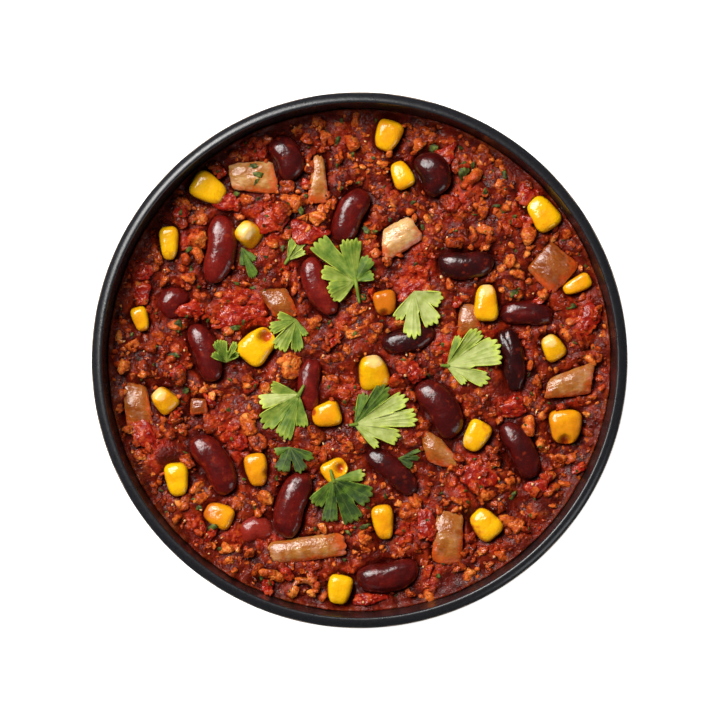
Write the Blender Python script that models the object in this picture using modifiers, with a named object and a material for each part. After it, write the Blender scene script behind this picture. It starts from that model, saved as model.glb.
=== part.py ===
"""Chili con carne in a matte black stoneware bowl.

The bowl stands on its flat foot, with its axis on Z and the foot at Z = 0. The stew fills it to a
centimetre below the rim. Kidney beans, corn kernels and onion pieces sit half sunk in the stew, in
pockets of their own shape, and coriander leaves lie on top. Every length below is in millimetres,
and MM turns it into Blender's metres. X is to the right and Y is away from the viewer.
"""

import math
import random

import bmesh
import bpy
from mathutils import Matrix, Vector, noise

MM = 0.001
CLEARANCE = 0.35
POCKET_CLEARANCE = 0.5
POCKET_SCALE = 1.16
POCKET_HEADROOM = 3.0
POCKET_FACETS = (6, 5)
POCKET_CELLS = (3, 2)

# The bowl
BOWL_HEIGHT = 58.0
RIM_RADIUS = 75.0
LIP = 1.6
FOOT_RADIUS = 41.0
FLOOR_RADIUS = 36.0
FLOOR_THICKNESS = 6.0
WALL_CURVE = 0.55
WALL_SHARES = (0.0, 0.05, 0.17, 0.36, 0.62, 1.0)
LIP_ANGLES = (135, 90, 45)
TURNS = 48

# The stew
STEW_LEVEL = 46.0
STEW_RADIUS = 70.2
BRIM = 1.0
SWELL_HEIGHT = 0.7
SWELL_LENGTHS = (15.0, 19.0)
LUMP_HEIGHT = 0.9
LUMP_LENGTH = 6.0
GRID_CELLS = 18
BLOCK_HALF = 76.0
BLOCK_BOTTOM = -10.0
SEED = 7

# Kidney beans: x, y, heading, length, width, and how far the middle is above the stew's level.
# The hollow side is on the right of the heading.
BEANS = {
    "bean_01": (-20.6, 57.0, -65, 13.0, 8.6, 0.4),
    "bean_02": (20.7, 52.8, -65, 12.8, 9.4, 0.6),
    "bean_03": (-2.5, 40.8, 65, 16.4, 8.6, 0.2),
    "bean_04": (-39.6, 31.3, -98, 19.2, 8.9, 0.6),
    "bean_05": (-11.5, 20.9, 114, 17.0, 7.8, 0.8),
    "bean_06": (30.0, 27.1, 181, 15.7, 8.2, 0.3),
    "bean_07": (-43.7, 2.2, -70, 16.8, 7.9, 0.2),
    "bean_08": (14.0, 6.1, 199, 15.4, 7.2, -0.4),
    "bean_09": (43.1, 0.2, -80, 17.0, 6.8, -0.2),
    "bean_10": (47.3, 13.1, -3, 15.2, 7.2, -1.2),
    "bean_11": (-14.0, -6.8, 87, 14.4, 6.8, -0.9),
    "bean_12": (22.7, -13.5, -58, 18.0, 9.8, 0.4),
    "bean_13": (45.4, -25.3, -64, 17.4, 7.8, 0.2),
    "bean_14": (-41.2, -29.2, -58, 18.6, 9.0, 0.2),
    "bean_15": (9.2, -31.4, -41, 17.6, 7.4, -0.6),
    "bean_16": (-18.8, -40.7, 72, 19.0, 9.2, 0.6),
    "bean_17": (8.1, -60.8, 191, 17.4, 8.8, 0.0),
}
BEAN_HEIGHT_SHARE = 0.78
BEAN_FACETS = (10, 6)
BEAN_CURL = 0.1
BEAN_HOLLOW = 0.15
BEAN_HOLLOW_REACH = 0.35
BEAN_BLUNTNESS = 2.5

# Corn kernels: x, y, heading from tip to crown, length, width, height, how far the tip is lifted,
# in degrees, and how far the middle is above the stew's level.
CORN = {
    "corn_01": (8.1, 63.5, 70, 8.8, 8.0, 6.0, 0, 0.3),
    "corn_02": (-42.6, 48.4, 149, 10.2, 8.6, 6.4, 0, 0.9),
    "corn_03": (12.0, 52.3, -66, 8.0, 6.4, 5.4, 0, 0.3),
    "corn_04": (-53.8, 33.0, 92, 9.6, 5.8, 5.4, 0, 0.7),
    "corn_05": (-31.4, 35.8, -35, 8.4, 8.0, 6.0, 60, 0.2),
    "corn_06": (51.8, 41.4, -54, 10.2, 8.4, 6.2, 0, 0.8),
    "corn_07": (35.8, 16.2, -90, 10.4, 7.4, 6.2, 0, 0.6),
    "corn_08": (61.6, 21.4, 27, 8.4, 5.0, 4.6, 0, -0.2),
    "corn_09": (-61.9, 11.7, 105, 7.2, 5.0, 4.8, 0, 0.0),
    "corn_10": (-28.8, 4.1, 228, 11.0, 9.6, 6.4, 0, 0.7),
    "corn_11": (7.3, 16.2, 100, 7.2, 7.2, 5.4, 0, -0.4),
    "corn_12": (3.9, -3.4, -78, 9.6, 9.2, 6.6, 25, 0.8),
    "corn_13": (54.6, 3.6, -60, 7.2, 6.8, 5.6, 20, 0.2),
    "corn_14": (-55.2, -11.2, -45, 7.4, 7.0, 6.0, 30, 0.8),
    "corn_15": (-9.4, -15.4, 15, 8.2, 7.8, 6.0, 0, 0.4),
    "corn_16": (33.0, -21.4, 60, 9.0, 7.4, 6.0, 0, 0.6),
    "corn_17": (58.2, -18.8, 90, 9.6, 10.0, 6.0, 0, 0.5),
    "corn_18": (-51.5, -33.7, 97, 9.4, 7.2, 6.0, 0, 0.7),
    "corn_19": (-39.8, -43.8, -25, 8.4, 7.4, 5.8, 0, 0.1),
    "corn_20": (-29.1, -30.9, 98, 9.4, 7.0, 5.8, 0, 0.2),
    "corn_21": (-6.9, -31.1, 215, 7.6, 7.2, 5.2, 0, -0.4),
    "corn_22": (6.7, -45.7, 97, 9.8, 6.6, 5.8, 0, 0.4),
    "corn_23": (35.6, -46.3, -48, 9.2, 8.4, 6.2, 0, 0.6),
    "corn_24": (-5.6, -64.8, 80, 8.4, 7.6, 6.2, 0, 0.2),
}
CORN_FACETS = (8, 5)
CORN_BOXINESS = 2.7
CORN_TAPER = 0.24
CORN_FULLNESS = 1.14

# Onion pieces: four corners anticlockwise, the sag of the curved layer, and how far the middle is
# above the stew's level.
ONIONS = {
    "onion_01": ((-35.8, 48.1), (-22.7, 47.0), (-24.6, 56.2), (-37.0, 55.4), 0.7, 0.7),
    "onion_03": ((6.4, 27.1), (18.2, 34.4), (14.0, 40.8), (6.7, 36.9), 0.9, 0.8),
    "onion_04": ((-24.1, 12.0), (-16.8, 12.5), (-20.7, 20.4), (-28.6, 19.8), 0.8, -0.3),
    "onion_05": ((47.3, 25.7), (54.6, 18.4), (62.4, 26.8), (53.8, 33.8), 1.0, 0.2),
    "onion_07": ((52.1, -11.0), (65.2, -9.6), (66.4, -0.4), (53.8, -5.1), 0.9, 0.4),
    "onion_08": ((-65.8, -19.1), (-58.2, -18.8), (-60.2, -7.4), (-66.9, -6.0), 0.8, 0.0),
    "onion_09": ((19.3, -28.9), (30.8, -31.7), (22.9, -22.0), (16.8, -18.6), 0.9, 0.1),
    "onion_10": ((20.2, -56.9), (28.8, -58.0), (29.4, -44.0), (22.1, -42.4), 1.0, 0.4),
    "onion_11": ((-24.1, -57.8), (-3.6, -55.2), (-5.0, -48.5), (-25.8, -51.6), 1.0, 0.4),
}
ONION_THICKNESS = 2.0
ONION_ROUNDING = 0.1
ONION_MARGIN = 1.2
ONION_CELLS = (4, 3)

# Coriander leaves: x and y where the stalk joins, and the stalk's heading and length.
LEAVES = {
    "leaf_01": (-1.1, 22.3, -80, 6.2),
    "leaf_04": (-17.9, 11.4, 60, 0.0),
    "leaf_06": (15.4, 19.4, 95, 0.0),
    "leaf_07": (24.6, -1.6, 176, 1.6),
    "leaf_08": (-17.0, -9.6, 62, 2.8),
    "leaf_09": (-1.4, -18.2, 185, 1.4),
    "leaf_10": (-19.6, -24.6, 120, 0.0),
    "leaf_11": (-7.4, -33.8, 106, 3.0),
}
# The lobes of each leaf, anticlockwise: direction, reach, half of its spread, and number of teeth.
LOBES = {
    "leaf_01": ((20, 5.4, 20, 2), (60, 9.2, 17, 3), (98, 12.4, 17, 3), (134, 16.4, 12, 3),
                (164, 10.0, 14, 2), (208, 7.4, 26, 4)),
    "leaf_04": ((165, 5.6, 15, 2), (200, 7.8, 16, 3), (238, 10.0, 17, 3), (273, 9.0, 14, 3),
                (302, 5.4, 12, 2)),
    "leaf_06": ((-122, 9.4, 12, 2), (-93, 13.2, 14, 3), (-58, 11.2, 17, 3), (-18, 8.4, 19, 3)),
    "leaf_07": ((-44, 7.4, 10, 2), (-20, 12.6, 13, 3), (18, 16.2, 18, 4), (48, 13.8, 11, 3),
                (68, 9.6, 8, 2)),
    "leaf_08": ((165, 8.6, 14, 3), (192, 11.8, 12, 2), (220, 13.8, 15, 3), (249, 13.6, 12, 3),
                (275, 9.6, 13, 3)),
    "leaf_09": ((-43, 9.2, 9, 2), (-17, 13.4, 12, 3), (7, 18.0, 10, 3), (28, 16.8, 10, 3),
                (50, 14.2, 12, 3), (74, 9.4, 11, 2)),
    "leaf_10": ((198, 4.6, 18, 2), (250, 7.4, 22, 3), (297, 7.8, 17, 3), (335, 7.2, 14, 2)),
    "leaf_11": ((-128, 8.8, 18, 3), (-95, 12.2, 13, 3), (-63, 13.6, 15, 3), (-26, 12.0, 18, 3),
                (10, 9.0, 14, 2)),
}
LEAF_THICKNESS = 0.4
LEAF_NOTCH = 0.84
LEAF_CLEFT = 0.52
LEAF_TOOTH_WIDTH = 0.5
LEAF_RING = 0.55
LEAF_WAVE = 0.45
LEAF_REACH_ROUND = 1.6
LEAF_RELAXING = 14
LEAF_DROOP = 0.12
STALK_HALF = 0.45

# What is fused with the stew: more of the same things, small or almost covered
SUNK_BEANS = ((-52.6, 16.2, 60, 9.4, 8.4, -0.6), (-29.4, -48.0, 10, 10.0, 8.0, -0.8))
SUNK_ONIONS = (
    ((-14.8, 44.7), (-8.7, 44.4), (-10.1, 57.3), (-12.9, 57.9), 0.4, 0.5),
    ((27.4, 6.1), (34.4, 8.0), (33.6, 15.3), (28.6, 16.4), 0.8, -0.3),
    ((-47.9, -15.5), (-42.8, -14.9), (-43.4, -11.0), (-47.6, -10.7), 0.3, 0.2),
)
SMALL_LEAVES = ((-17.9, 31.0, 8.4, 3.6, 60), (-31.4, 27.9, 9.0, 4.4, -60), (-37.5, 2.7, 6.8, 6.0, 90),
                (14.3, -28.4, 7.6, 4.2, 15))
# Tomato pieces: x, y, heading, length and width.
TOMATO = (
    (-14.6, 35.8, -10, 8.4, 6.0), (-61.9, 19.5, 85, 6.0, 4.2), (-26.3, 39.1, 40, 9.0, 6.0),
    (-34.2, 13.1, 10, 11.0, 6.0), (-37.0, 45.3, 20, 6.0, 4.0), (-61.3, 25.1, 20, 5.6, 5.0),
    (-46.8, 14.5, 15, 7.0, 4.6), (13.4, 19.5, 35, 7.4, 3.6), (24.6, 58.2, 40, 5.4, 4.6),
    (46.5, 47.0, 60, 5.0, 4.2), (63.8, 10.3, 80, 8.0, 5.4), (-59.9, -21.6, -40, 8.4, 6.2),
    (-45.1, -42.6, -50, 9.4, 4.6), (-34.2, -23.3, 50, 5.0, 5.0), (43.7, -13.2, 20, 8.4, 5.4),
    (33.2, -31.6, -20, 9.0, 7.4), (50.7, -35.7, 30, 6.4, 4.4), (15.7, -2.9, -60, 6.0, 4.0),
    (19.0, -44.9, -70, 8.4, 4.6), (3.1, -67.3, 10, 7.0, 3.4),
)
# Herb flakes: x, y, heading and length.
FLAKES = (
    (-17.1, 42.5, -50, 4.2), (-6.2, 62.1, 70, 3.6), (-51.5, 9.7, 90, 4.0), (-47.9, 25.9, 20, 2.4),
    (-48.2, 31.3, 40, 2.4), (-35.8, 8.9, 15, 3.4), (-22.1, 32.1, -60, 3.4), (21.0, 60.0, 10, 3.0),
    (35.3, 47.2, 60, 3.4), (38.4, 43.6, 0, 2.6), (28.8, 53.7, -70, 5.4), (40.6, 53.2, -65, 4.2),
    (43.4, 19.0, 50, 3.2), (1.1, 17.8, 10, 2.8), (59.9, 15.3, 20, 3.0), (-49.3, -9.3, 80, 3.4),
    (-52.1, 1.3, 0, 3.0), (-41.4, -47.1, 25, 3.2), (-27.7, -60.3, 80, 4.4), (1.1, -47.1, 20, 3.6),
    (43.4, -38.4, 60, 3.0), (-3.4, -48.5, -40, 2.8), (-35.0, 47.0, 20, 2.6), (2.0, 36.6, -45, 3.6),
)
CRUMB_SPACING = 13.0
CRUMB_ROWS = 0.87
CRUMB_JITTER = 2.2
CRUMB_STRETCH = 1.15
CRUMB_SIZES = (3.2, 5.4)
CRUMB_MARGIN = 0.7

# Colour, roughness and metallic value of each kind of thing
FINISHES = {
    "stoneware": ((0.028, 0.027, 0.031), 0.42, 0.0),
    "stew": ((0.23, 0.035, 0.011), 0.25, 0.0),
    "bean": ((0.105, 0.006, 0.006), 0.16, 0.0),
    "corn": ((0.86, 0.50, 0.020), 0.22, 0.0),
    "onion": ((0.55, 0.27, 0.10), 0.24, 0.0),
    "leaf": ((0.25, 0.36, 0.05), 0.5, 0.0),
}


def clear_scene():
    for obj in list(bpy.data.objects):
        bpy.data.objects.remove(obj)


def new_collection(name):
    collection = bpy.data.collections.new(name)
    bpy.context.scene.collection.children.link(collection)
    return collection


def finish(kind):
    """The material of one kind of thing, made at its first use."""
    material = bpy.data.materials.get(kind)
    if material is None:
        material = bpy.data.materials.new(kind)
        material.use_nodes = True
        colour, roughness, metallic = FINISHES[kind]
        shader = material.node_tree.nodes["Principled BSDF"]
        shader.inputs["Base Color"].default_value = (*colour, 1.0)
        shader.inputs["Roughness"].default_value = roughness
        shader.inputs["Metallic"].default_value = metallic
    return material


def add_object(name, mesh, kind, collection, smooth=True):
    """An object with its origin at the world's, made from a bmesh in metres, which it frees."""
    data = bpy.data.meshes.new(name)
    mesh.to_mesh(data)
    mesh.free()
    obj = bpy.data.objects.new(name, data)
    data.materials.append(finish(kind))
    data.polygons.foreach_set("use_smooth", [smooth] * len(data.polygons))
    collection.objects.link(obj)
    return obj


def place(obj, x, y, z, heading, tilt=0.0):
    """Turns the object to its heading and puts it at a place in mm."""
    turn = Matrix.Rotation(math.radians(heading), 4, "Z") @ Matrix.Rotation(math.radians(tilt), 4, "Y")
    obj.matrix_world = Matrix.Translation(Vector((x, y, z)) * MM) @ turn


def bake_modifiers(obj):
    """Replaces the object's mesh by what its modifiers make of it."""
    bpy.context.view_layer.update()
    graph = bpy.context.evaluated_depsgraph_get()
    baked = bpy.data.meshes.new_from_object(obj.evaluated_get(graph))
    obj.modifiers.clear()
    obj.data = baked


def combine(obj, operation, collection):
    """Joins or cuts the object with everything in a collection, then removes those helpers."""
    modifier = obj.modifiers.new(operation.title(), "BOOLEAN")
    modifier.operation = operation
    modifier.operand_type = "COLLECTION"
    modifier.collection = collection
    bake_modifiers(obj)
    for helper in list(collection.objects):
        bpy.data.objects.remove(helper)


def thicken(obj, below, above):
    """Makes a sheet solid, from a depth below it to a height above it."""
    solid = obj.modifiers.new("Thickness", "SOLIDIFY")
    solid.thickness = (below + above) * MM
    solid.offset = (above - below) / (above + below)


def hide_helpers(collection):
    for helper in collection.objects:
        helper.hide_render = True
        helper.display_type = "WIRE"


# Shapes, each a bmesh in metres that lies along X with its middle at the origin


def ball(facets, shape):
    """A sphere with its poles on X, each point of which is moved by a shape function in mm."""
    mesh = bmesh.new()
    bmesh.ops.create_uvsphere(mesh, u_segments=facets[0], v_segments=facets[1], radius=1.0)
    for point in mesh.verts:
        point.co = shape(Vector((point.co.z, point.co.x, point.co.y))) * MM
    return mesh


def bean_shape(length, width, height):
    """Blunt at both ends, hollow on one side, and bowed round that side."""

    def shape(p):
        girth = math.sqrt(max(1.0 - p.x**2, 1e-9))
        fuller = (1.0 - min(abs(p.x), 1.0) ** BEAN_BLUNTNESS) ** (1 / BEAN_BLUNTNESS) / girth
        across = p.y * fuller
        if across < 0.0:
            across *= 1.0 - BEAN_HOLLOW * math.exp(-((p.x / BEAN_HOLLOW_REACH) ** 2))
        bow = BEAN_CURL * width * (0.4 - p.x**2)
        return Vector((p.x * length / 2, across * width / 2 + bow, p.z * fuller * height / 2))

    return shape


def kernel_shape(length, width, height):
    """Boxy and rounded, wide at the crown and narrow at the tip."""

    def shape(p):
        power = CORN_BOXINESS
        norm = (abs(p.x) ** power + abs(p.y) ** power + abs(p.z) ** power) ** (1 / power)
        along, across, up = p / norm
        taper = 1.0 - CORN_TAPER * (1.0 - along)
        girth = CORN_FULLNESS * taper
        return Vector((along * length, across * width * girth, up * height * (0.3 + 0.7 * girth))) / 2

    return shape


def onion_frame(corners):
    """Middle, heading, length and width of an onion piece from its four corners."""
    a, b, c, d = (Vector(corner) for corner in corners)
    along = (b - a + c - d) / 2
    across = (d - a + c - b) / 2
    return (a + b + c + d) / 4, math.degrees(math.atan2(along.y, along.x)), along.length, across.length


def outward(start, end):
    """The direction out of a side that runs anticlockwise round a shape."""
    side = end - start
    return Vector((side.y, -side.x)).normalized()


def onion_sheet(corners, sag, cells, margin=0.0):
    """A piece of an onion layer round its middle, without its thickness: a curved four-sided sheet."""
    middle = onion_frame(corners)[0]
    places = [Vector(corner) - middle for corner in corners]
    a, b, c, d = (
        here + margin * (outward(before, here) + outward(here, after))
        for before, here, after in zip(places[-1:] + places, places, places[1:] + places)
    )
    mesh = bmesh.new()
    bmesh.ops.create_grid(mesh, x_segments=cells[0], y_segments=cells[1], size=1.0)
    for point in mesh.verts:
        u, v = point.co.x, point.co.y
        low = a * (1 - u) + b * (1 + u)
        high = d * (1 - u) + c * (1 + u)
        flat = (low * (1 - v) + high * (1 + v)) / 4 * (1.0 - ONION_ROUNDING * u**2 * v**2)
        point.co = Vector((flat.x, flat.y, sag * (0.4 - v**2) - 0.4 * sag * u**2)) * MM
    return mesh


def lump(size, stretch, chance):
    """A crumb of mince or a piece of tomato: an uneven rounded chunk."""
    mesh = bmesh.new()
    bmesh.ops.create_icosphere(mesh, subdivisions=1, radius=size / 2 * MM)
    for point in mesh.verts:
        point.co *= chance.uniform(0.75, 1.15)
        point.co.x *= stretch
    return mesh


# The bowl and the stew


def wall_radius(foot, top, share):
    """The radius of a bowl's wall at a share of its height: a wide curve out of the foot, then upright."""
    return foot + (top - foot) * (1.0 - (1.0 - share) ** 2) ** WALL_CURVE


def inside_profile(inset, top):
    """Points from the axis up the inside of the bowl, moved in from the wall by an inset."""
    lip_height = BOWL_HEIGHT - LIP
    points = [(0.0, FLOOR_THICKNESS + inset)]
    for share in WALL_SHARES:
        radius = wall_radius(FLOOR_RADIUS, RIM_RADIUS - 2 * LIP, share) - inset
        height = FLOOR_THICKNESS + inset + share * (lip_height - FLOOR_THICKNESS)
        points.append((radius, min(height, top)))
    return points


def turned(name, profile, kind, collection):
    """A solid turned round Z from a profile that runs down its outer side."""
    mesh = bmesh.new()
    points = [mesh.verts.new((radius * MM, 0.0, height * MM)) for radius, height in profile]
    for above, below in zip(points, points[1:]):
        mesh.edges.new((above, below))
    obj = add_object(name, mesh, kind, collection)
    screw = obj.modifiers.new("Turn", "SCREW")
    screw.axis = "Z"
    screw.steps = TURNS
    screw.render_steps = TURNS
    screw.use_merge_vertices = True
    screw.merge_threshold = 0.0001 * MM
    screw.use_smooth_shade = True
    return obj


def bowl(collection):
    lip = [
        (RIM_RADIUS - LIP + LIP * math.cos(angle), BOWL_HEIGHT - LIP + LIP * math.sin(angle))
        for angle in (math.radians(degrees) for degrees in LIP_ANGLES)
    ]
    outside = [
        (wall_radius(FOOT_RADIUS, RIM_RADIUS, share), share * (BOWL_HEIGHT - LIP))
        for share in reversed(WALL_SHARES)
    ]
    profile = inside_profile(0.0, BOWL_HEIGHT) + lip + outside + [(0.0, 0.0)]
    return turned("bowl", profile, "stoneware", collection)


def surface_height(x, y):
    """Height of the stew's bare top in mm: broad swells with lumps the size of mince on them."""
    swell = math.sin(x / SWELL_LENGTHS[0] + 0.8) * math.cos(y / SWELL_LENGTHS[1] + 0.4)
    lumps = noise.noise(Vector((x / LUMP_LENGTH, y / LUMP_LENGTH, 3.0)))
    return STEW_LEVEL + SWELL_HEIGHT * swell + LUMP_HEIGHT * lumps


def stew_top(collection):
    """A block with the stew's bumpy top, wider than the bowl and reaching below it."""
    mesh = bmesh.new()
    bmesh.ops.create_grid(mesh, x_segments=GRID_CELLS, y_segments=GRID_CELLS, size=BLOCK_HALF)
    for point in mesh.verts:
        point.co = Vector((point.co.x, point.co.y, surface_height(point.co.x, point.co.y))) * MM
    walls = bmesh.ops.extrude_face_region(mesh, geom=mesh.faces[:])
    for item in walls["geom"]:
        if isinstance(item, bmesh.types.BMVert):
            item.co.z = BLOCK_BOTTOM * MM
    bmesh.ops.recalc_face_normals(mesh, faces=mesh.faces)
    return add_object("stew_top", mesh, "stew", collection, smooth=False)


def footprints():
    """The toppings as ellipses on the stew: x, y, heading, half length and half width."""
    found = []
    for x, y, heading, length, width, *_ in [*BEANS.values(), *CORN.values()]:
        found.append((x, y, heading, length / 2, width / 2))
    for *corners, _, _ in ONIONS.values():
        middle, heading, length, width = onion_frame(corners)
        found.append((*middle, heading, length / 2 + ONION_MARGIN, width / 2 + ONION_MARGIN))
    return found


def is_free(x, y, margin, taken):
    """Whether a round thing of this radius stands clear of the bowl and of every topping."""
    if math.hypot(x, y) + margin > STEW_RADIUS - CRUMB_MARGIN:
        return False
    for cx, cy, heading, half_length, half_width in taken:
        offset = Matrix.Rotation(math.radians(-heading), 2) @ Vector((x - cx, y - cy))
        reach = Vector((offset.x / (half_length + margin), offset.y / (half_width + margin)))
        if reach.length < 1.0:
            return False
    return True


def under_leaf(x, y):
    """Whether a place is under a large leaf, where the stew stays low."""
    for name, (leaf_x, leaf_y, _, _) in LEAVES.items():
        away = Vector((x - leaf_x, y - leaf_y))
        bearing = math.degrees(math.atan2(away.y, away.x))
        for direction, reach, spread, _ in LOBES[name]:
            turn = (bearing - direction + 180) % 360 - 180
            if abs(turn) < spread + 12 and away.length < reach + 2.0:
                return True
    return False


def fused_pieces(collection, taken):
    """Crumbs, tomato, flakes and the almost covered toppings, all of which join the stew."""
    chance = random.Random(SEED)
    for x, y, heading, length, width in TOMATO:
        if is_free(x, y, width / 2 + CRUMB_MARGIN, taken):
            chunk = add_object("tomato", lump(width, length / width, chance), "stew", collection)
            place(chunk, x, y, surface_height(x, y) - 0.2, heading)
    for x, y, heading, length, width, rise in SUNK_BEANS:
        shape = bean_shape(length, width, width * BEAN_HEIGHT_SHARE)
        bean = add_object("sunk_bean", ball(CORN_FACETS, shape), "stew", collection)
        place(bean, x, y, STEW_LEVEL + rise, heading)
    for *corners, sag, rise in SUNK_ONIONS:
        sheet = onion_sheet(corners, sag, POCKET_CELLS)
        piece = add_object("sunk_onion", sheet, "stew", collection)
        thicken(piece, ONION_THICKNESS / 2, ONION_THICKNESS / 2)
        place(piece, *onion_frame(corners)[0], STEW_LEVEL + rise, 0)
    plates = [(x, y, heading, length, length / 2) for x, y, heading, length in FLAKES]
    plates += [(x, y, heading, length, width) for x, y, length, width, heading in SMALL_LEAVES]
    for x, y, heading, length, width in plates:
        if is_free(x, y, width / 2 + CRUMB_MARGIN, taken):
            flake = add_object("flake", lump(1.0, 1.0, chance), "stew", collection)
            flake.data.transform(Matrix.Diagonal((length, width, 1.0, 1.0)))
            place(flake, x, y, surface_height(x, y) + 0.3, heading)
    occupied = taken + [(x, y, heading, length / 2, width / 2) for x, y, heading, length, width in TOMATO]
    occupied += [(x, y, heading, length / 2, width / 2) for x, y, heading, length, width in plates]
    rows = int(STEW_RADIUS / (CRUMB_SPACING * CRUMB_ROWS))
    for row in range(-rows, rows + 1):
        for column in range(-rows, rows + 1):
            size = chance.uniform(*CRUMB_SIZES)
            x = CRUMB_SPACING * (column + 0.5 * (row % 2)) + chance.uniform(-CRUMB_JITTER, CRUMB_JITTER)
            y = CRUMB_SPACING * CRUMB_ROWS * row + chance.uniform(-CRUMB_JITTER, CRUMB_JITTER)
            heading = chance.uniform(0, 360)
            if is_free(x, y, size * 0.62 + CRUMB_MARGIN, occupied) and not under_leaf(x, y):
                crumb = add_object("crumb", lump(size, CRUMB_STRETCH, chance), "stew", collection)
                place(crumb, x, y, surface_height(x, y) + 0.1 * size, heading)


def pocket(shape, collection):
    return add_object("pocket", ball(POCKET_FACETS, shape), "stew", collection)


def pocket_cutters(collection):
    """Coarse shapes like the toppings, larger all round; those of the onions are open above."""
    more = 2 * POCKET_CLEARANCE
    for x, y, heading, length, width, rise in BEANS.values():
        sizes = (side * POCKET_SCALE + more for side in (length, width, width * BEAN_HEIGHT_SHARE))
        place(pocket(bean_shape(*sizes), collection), x, y, STEW_LEVEL + rise, heading)
    for x, y, heading, length, width, height, lift, rise in CORN.values():
        sizes = (side * POCKET_SCALE + more for side in (length, width, height))
        place(pocket(kernel_shape(*sizes), collection), x, y, STEW_LEVEL + rise, heading, lift)
    for *corners, sag, rise in ONIONS.values():
        sheet = onion_sheet(corners, sag, POCKET_CELLS, more)
        cutter = add_object("pocket", sheet, "stew", collection)
        thicken(cutter, ONION_THICKNESS / 2 + more, POCKET_HEADROOM)
        place(cutter, *onion_frame(corners)[0], STEW_LEVEL + rise, 0)
    hide_helpers(collection)


def keep_largest_body(obj):
    """Drops loose scraps and sealed hollows, which are bodies of their own in the mesh."""
    mesh = bmesh.new()
    mesh.from_mesh(obj.data)
    unseen = set(mesh.verts)
    bodies = []
    while unseen:
        body = set()
        edge = [unseen.pop()]
        while edge:
            point = edge.pop()
            body.add(point)
            near = {line.other_vert(point) for line in point.link_edges} & unseen
            unseen -= near
            edge += near
        bodies.append(body)
    scraps = sorted(bodies, key=len)[:-1]
    bmesh.ops.delete(mesh, geom=[point for body in scraps for point in body], context="VERTS")
    mesh.to_mesh(obj.data)
    mesh.free()


def stew(collection, fused, cutters):
    """The stew's core inside the bowl, with its pieces joined on and a pocket under each topping."""
    brim = BOWL_HEIGHT - LIP - BRIM
    profile = [(0.0, brim)] + inside_profile(CLEARANCE, brim)[::-1]
    core = turned("chili", profile, "stew", collection)
    top = stew_top(cutters)
    bake_modifiers(core)
    cut = core.modifiers.new("Level", "BOOLEAN")
    cut.operation = "INTERSECT"
    cut.object = top
    bake_modifiers(core)
    bpy.data.objects.remove(top)
    taken = footprints()
    fused_pieces(fused, taken)
    combine(core, "UNION", fused)
    pocket_cutters(cutters)
    combine(core, "DIFFERENCE", cutters)
    keep_largest_body(core)
    return core


# The toppings


def beans(collection):
    for name, (x, y, heading, length, width, rise) in BEANS.items():
        shape = bean_shape(length, width, width * BEAN_HEIGHT_SHARE)
        bean = add_object(name, ball(BEAN_FACETS, shape), "bean", collection)
        place(bean, x, y, STEW_LEVEL + rise, heading)


def corn(collection):
    for name, (x, y, heading, length, width, height, lift, rise) in CORN.items():
        kernel = add_object(name, ball(CORN_FACETS, kernel_shape(length, width, height)), "corn", collection)
        place(kernel, x, y, STEW_LEVEL + rise, heading, lift)


def onions(collection):
    for name, (*corners, sag, rise) in ONIONS.items():
        sheet = onion_sheet(corners, sag, ONION_CELLS)
        piece = add_object(name, sheet, "onion", collection, smooth=False)
        thicken(piece, ONION_THICKNESS / 2, ONION_THICKNESS / 2)
        place(piece, *onion_frame(corners)[0], STEW_LEVEL + rise, 0)


def polar(bearing, reach):
    """A point in mm from where a leaf's stalk joins."""
    return Vector((math.cos(math.radians(bearing)), math.sin(math.radians(bearing)))) * reach


def leaf_teeth(name):
    """The teeth of a leaf in turn: the notch before it, both ends of its tip, and a point inside it."""
    teeth = []
    for direction, reach, spread, count in LOBES[name]:
        half = spread / count
        for index in range(count):
            middle = direction - spread + (2 * index + 1) * half
            tip = reach * (1 - 0.2 * abs((middle - direction) / spread) ** 1.5)
            notch = reach * (LEAF_NOTCH if index else LEAF_CLEFT)
            teeth.append((
                polar(middle - half, notch),
                polar(middle - half * LEAF_TOOTH_WIDTH, tip * 0.97),
                polar(middle + half * LEAF_TOOTH_WIDTH, tip),
                polar(middle, tip * LEAF_RING),
            ))
    return teeth


def leaf_stalk(name):
    """Points down one side of the stalk and up the other, or one point where a leaf has no stalk."""
    heading, length = LEAVES[name][2:]
    if not length:
        return [polar(heading, 0.6)]
    across = polar(heading + 90, STALK_HALF)
    return [polar(heading, length) - across, polar(heading, length) + across]


def height_below(x, y):
    """The highest thing in the scene at a place, in mm."""
    graph = bpy.context.evaluated_depsgraph_get()
    start = Vector((x, y, 2 * BOWL_HEIGHT)) * MM
    hit, where, *_ = bpy.context.scene.ray_cast(graph, start, Vector((0, 0, -1)))
    return where.z / MM if hit else 0.0


def resting_height(x, y):
    """How high a leaf has to be at a place to clear what is under it and close round it."""
    ring = [(0.0, 0.0)]
    for step in range(8):
        angle = math.radians(45 * step)
        ring.append((LEAF_REACH_ROUND * math.cos(angle), LEAF_REACH_ROUND * math.sin(angle)))
    return max(height_below(x + dx, y + dy) for dx, dy in ring) + LEAF_THICKNESS / 2 + CLEARANCE


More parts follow.
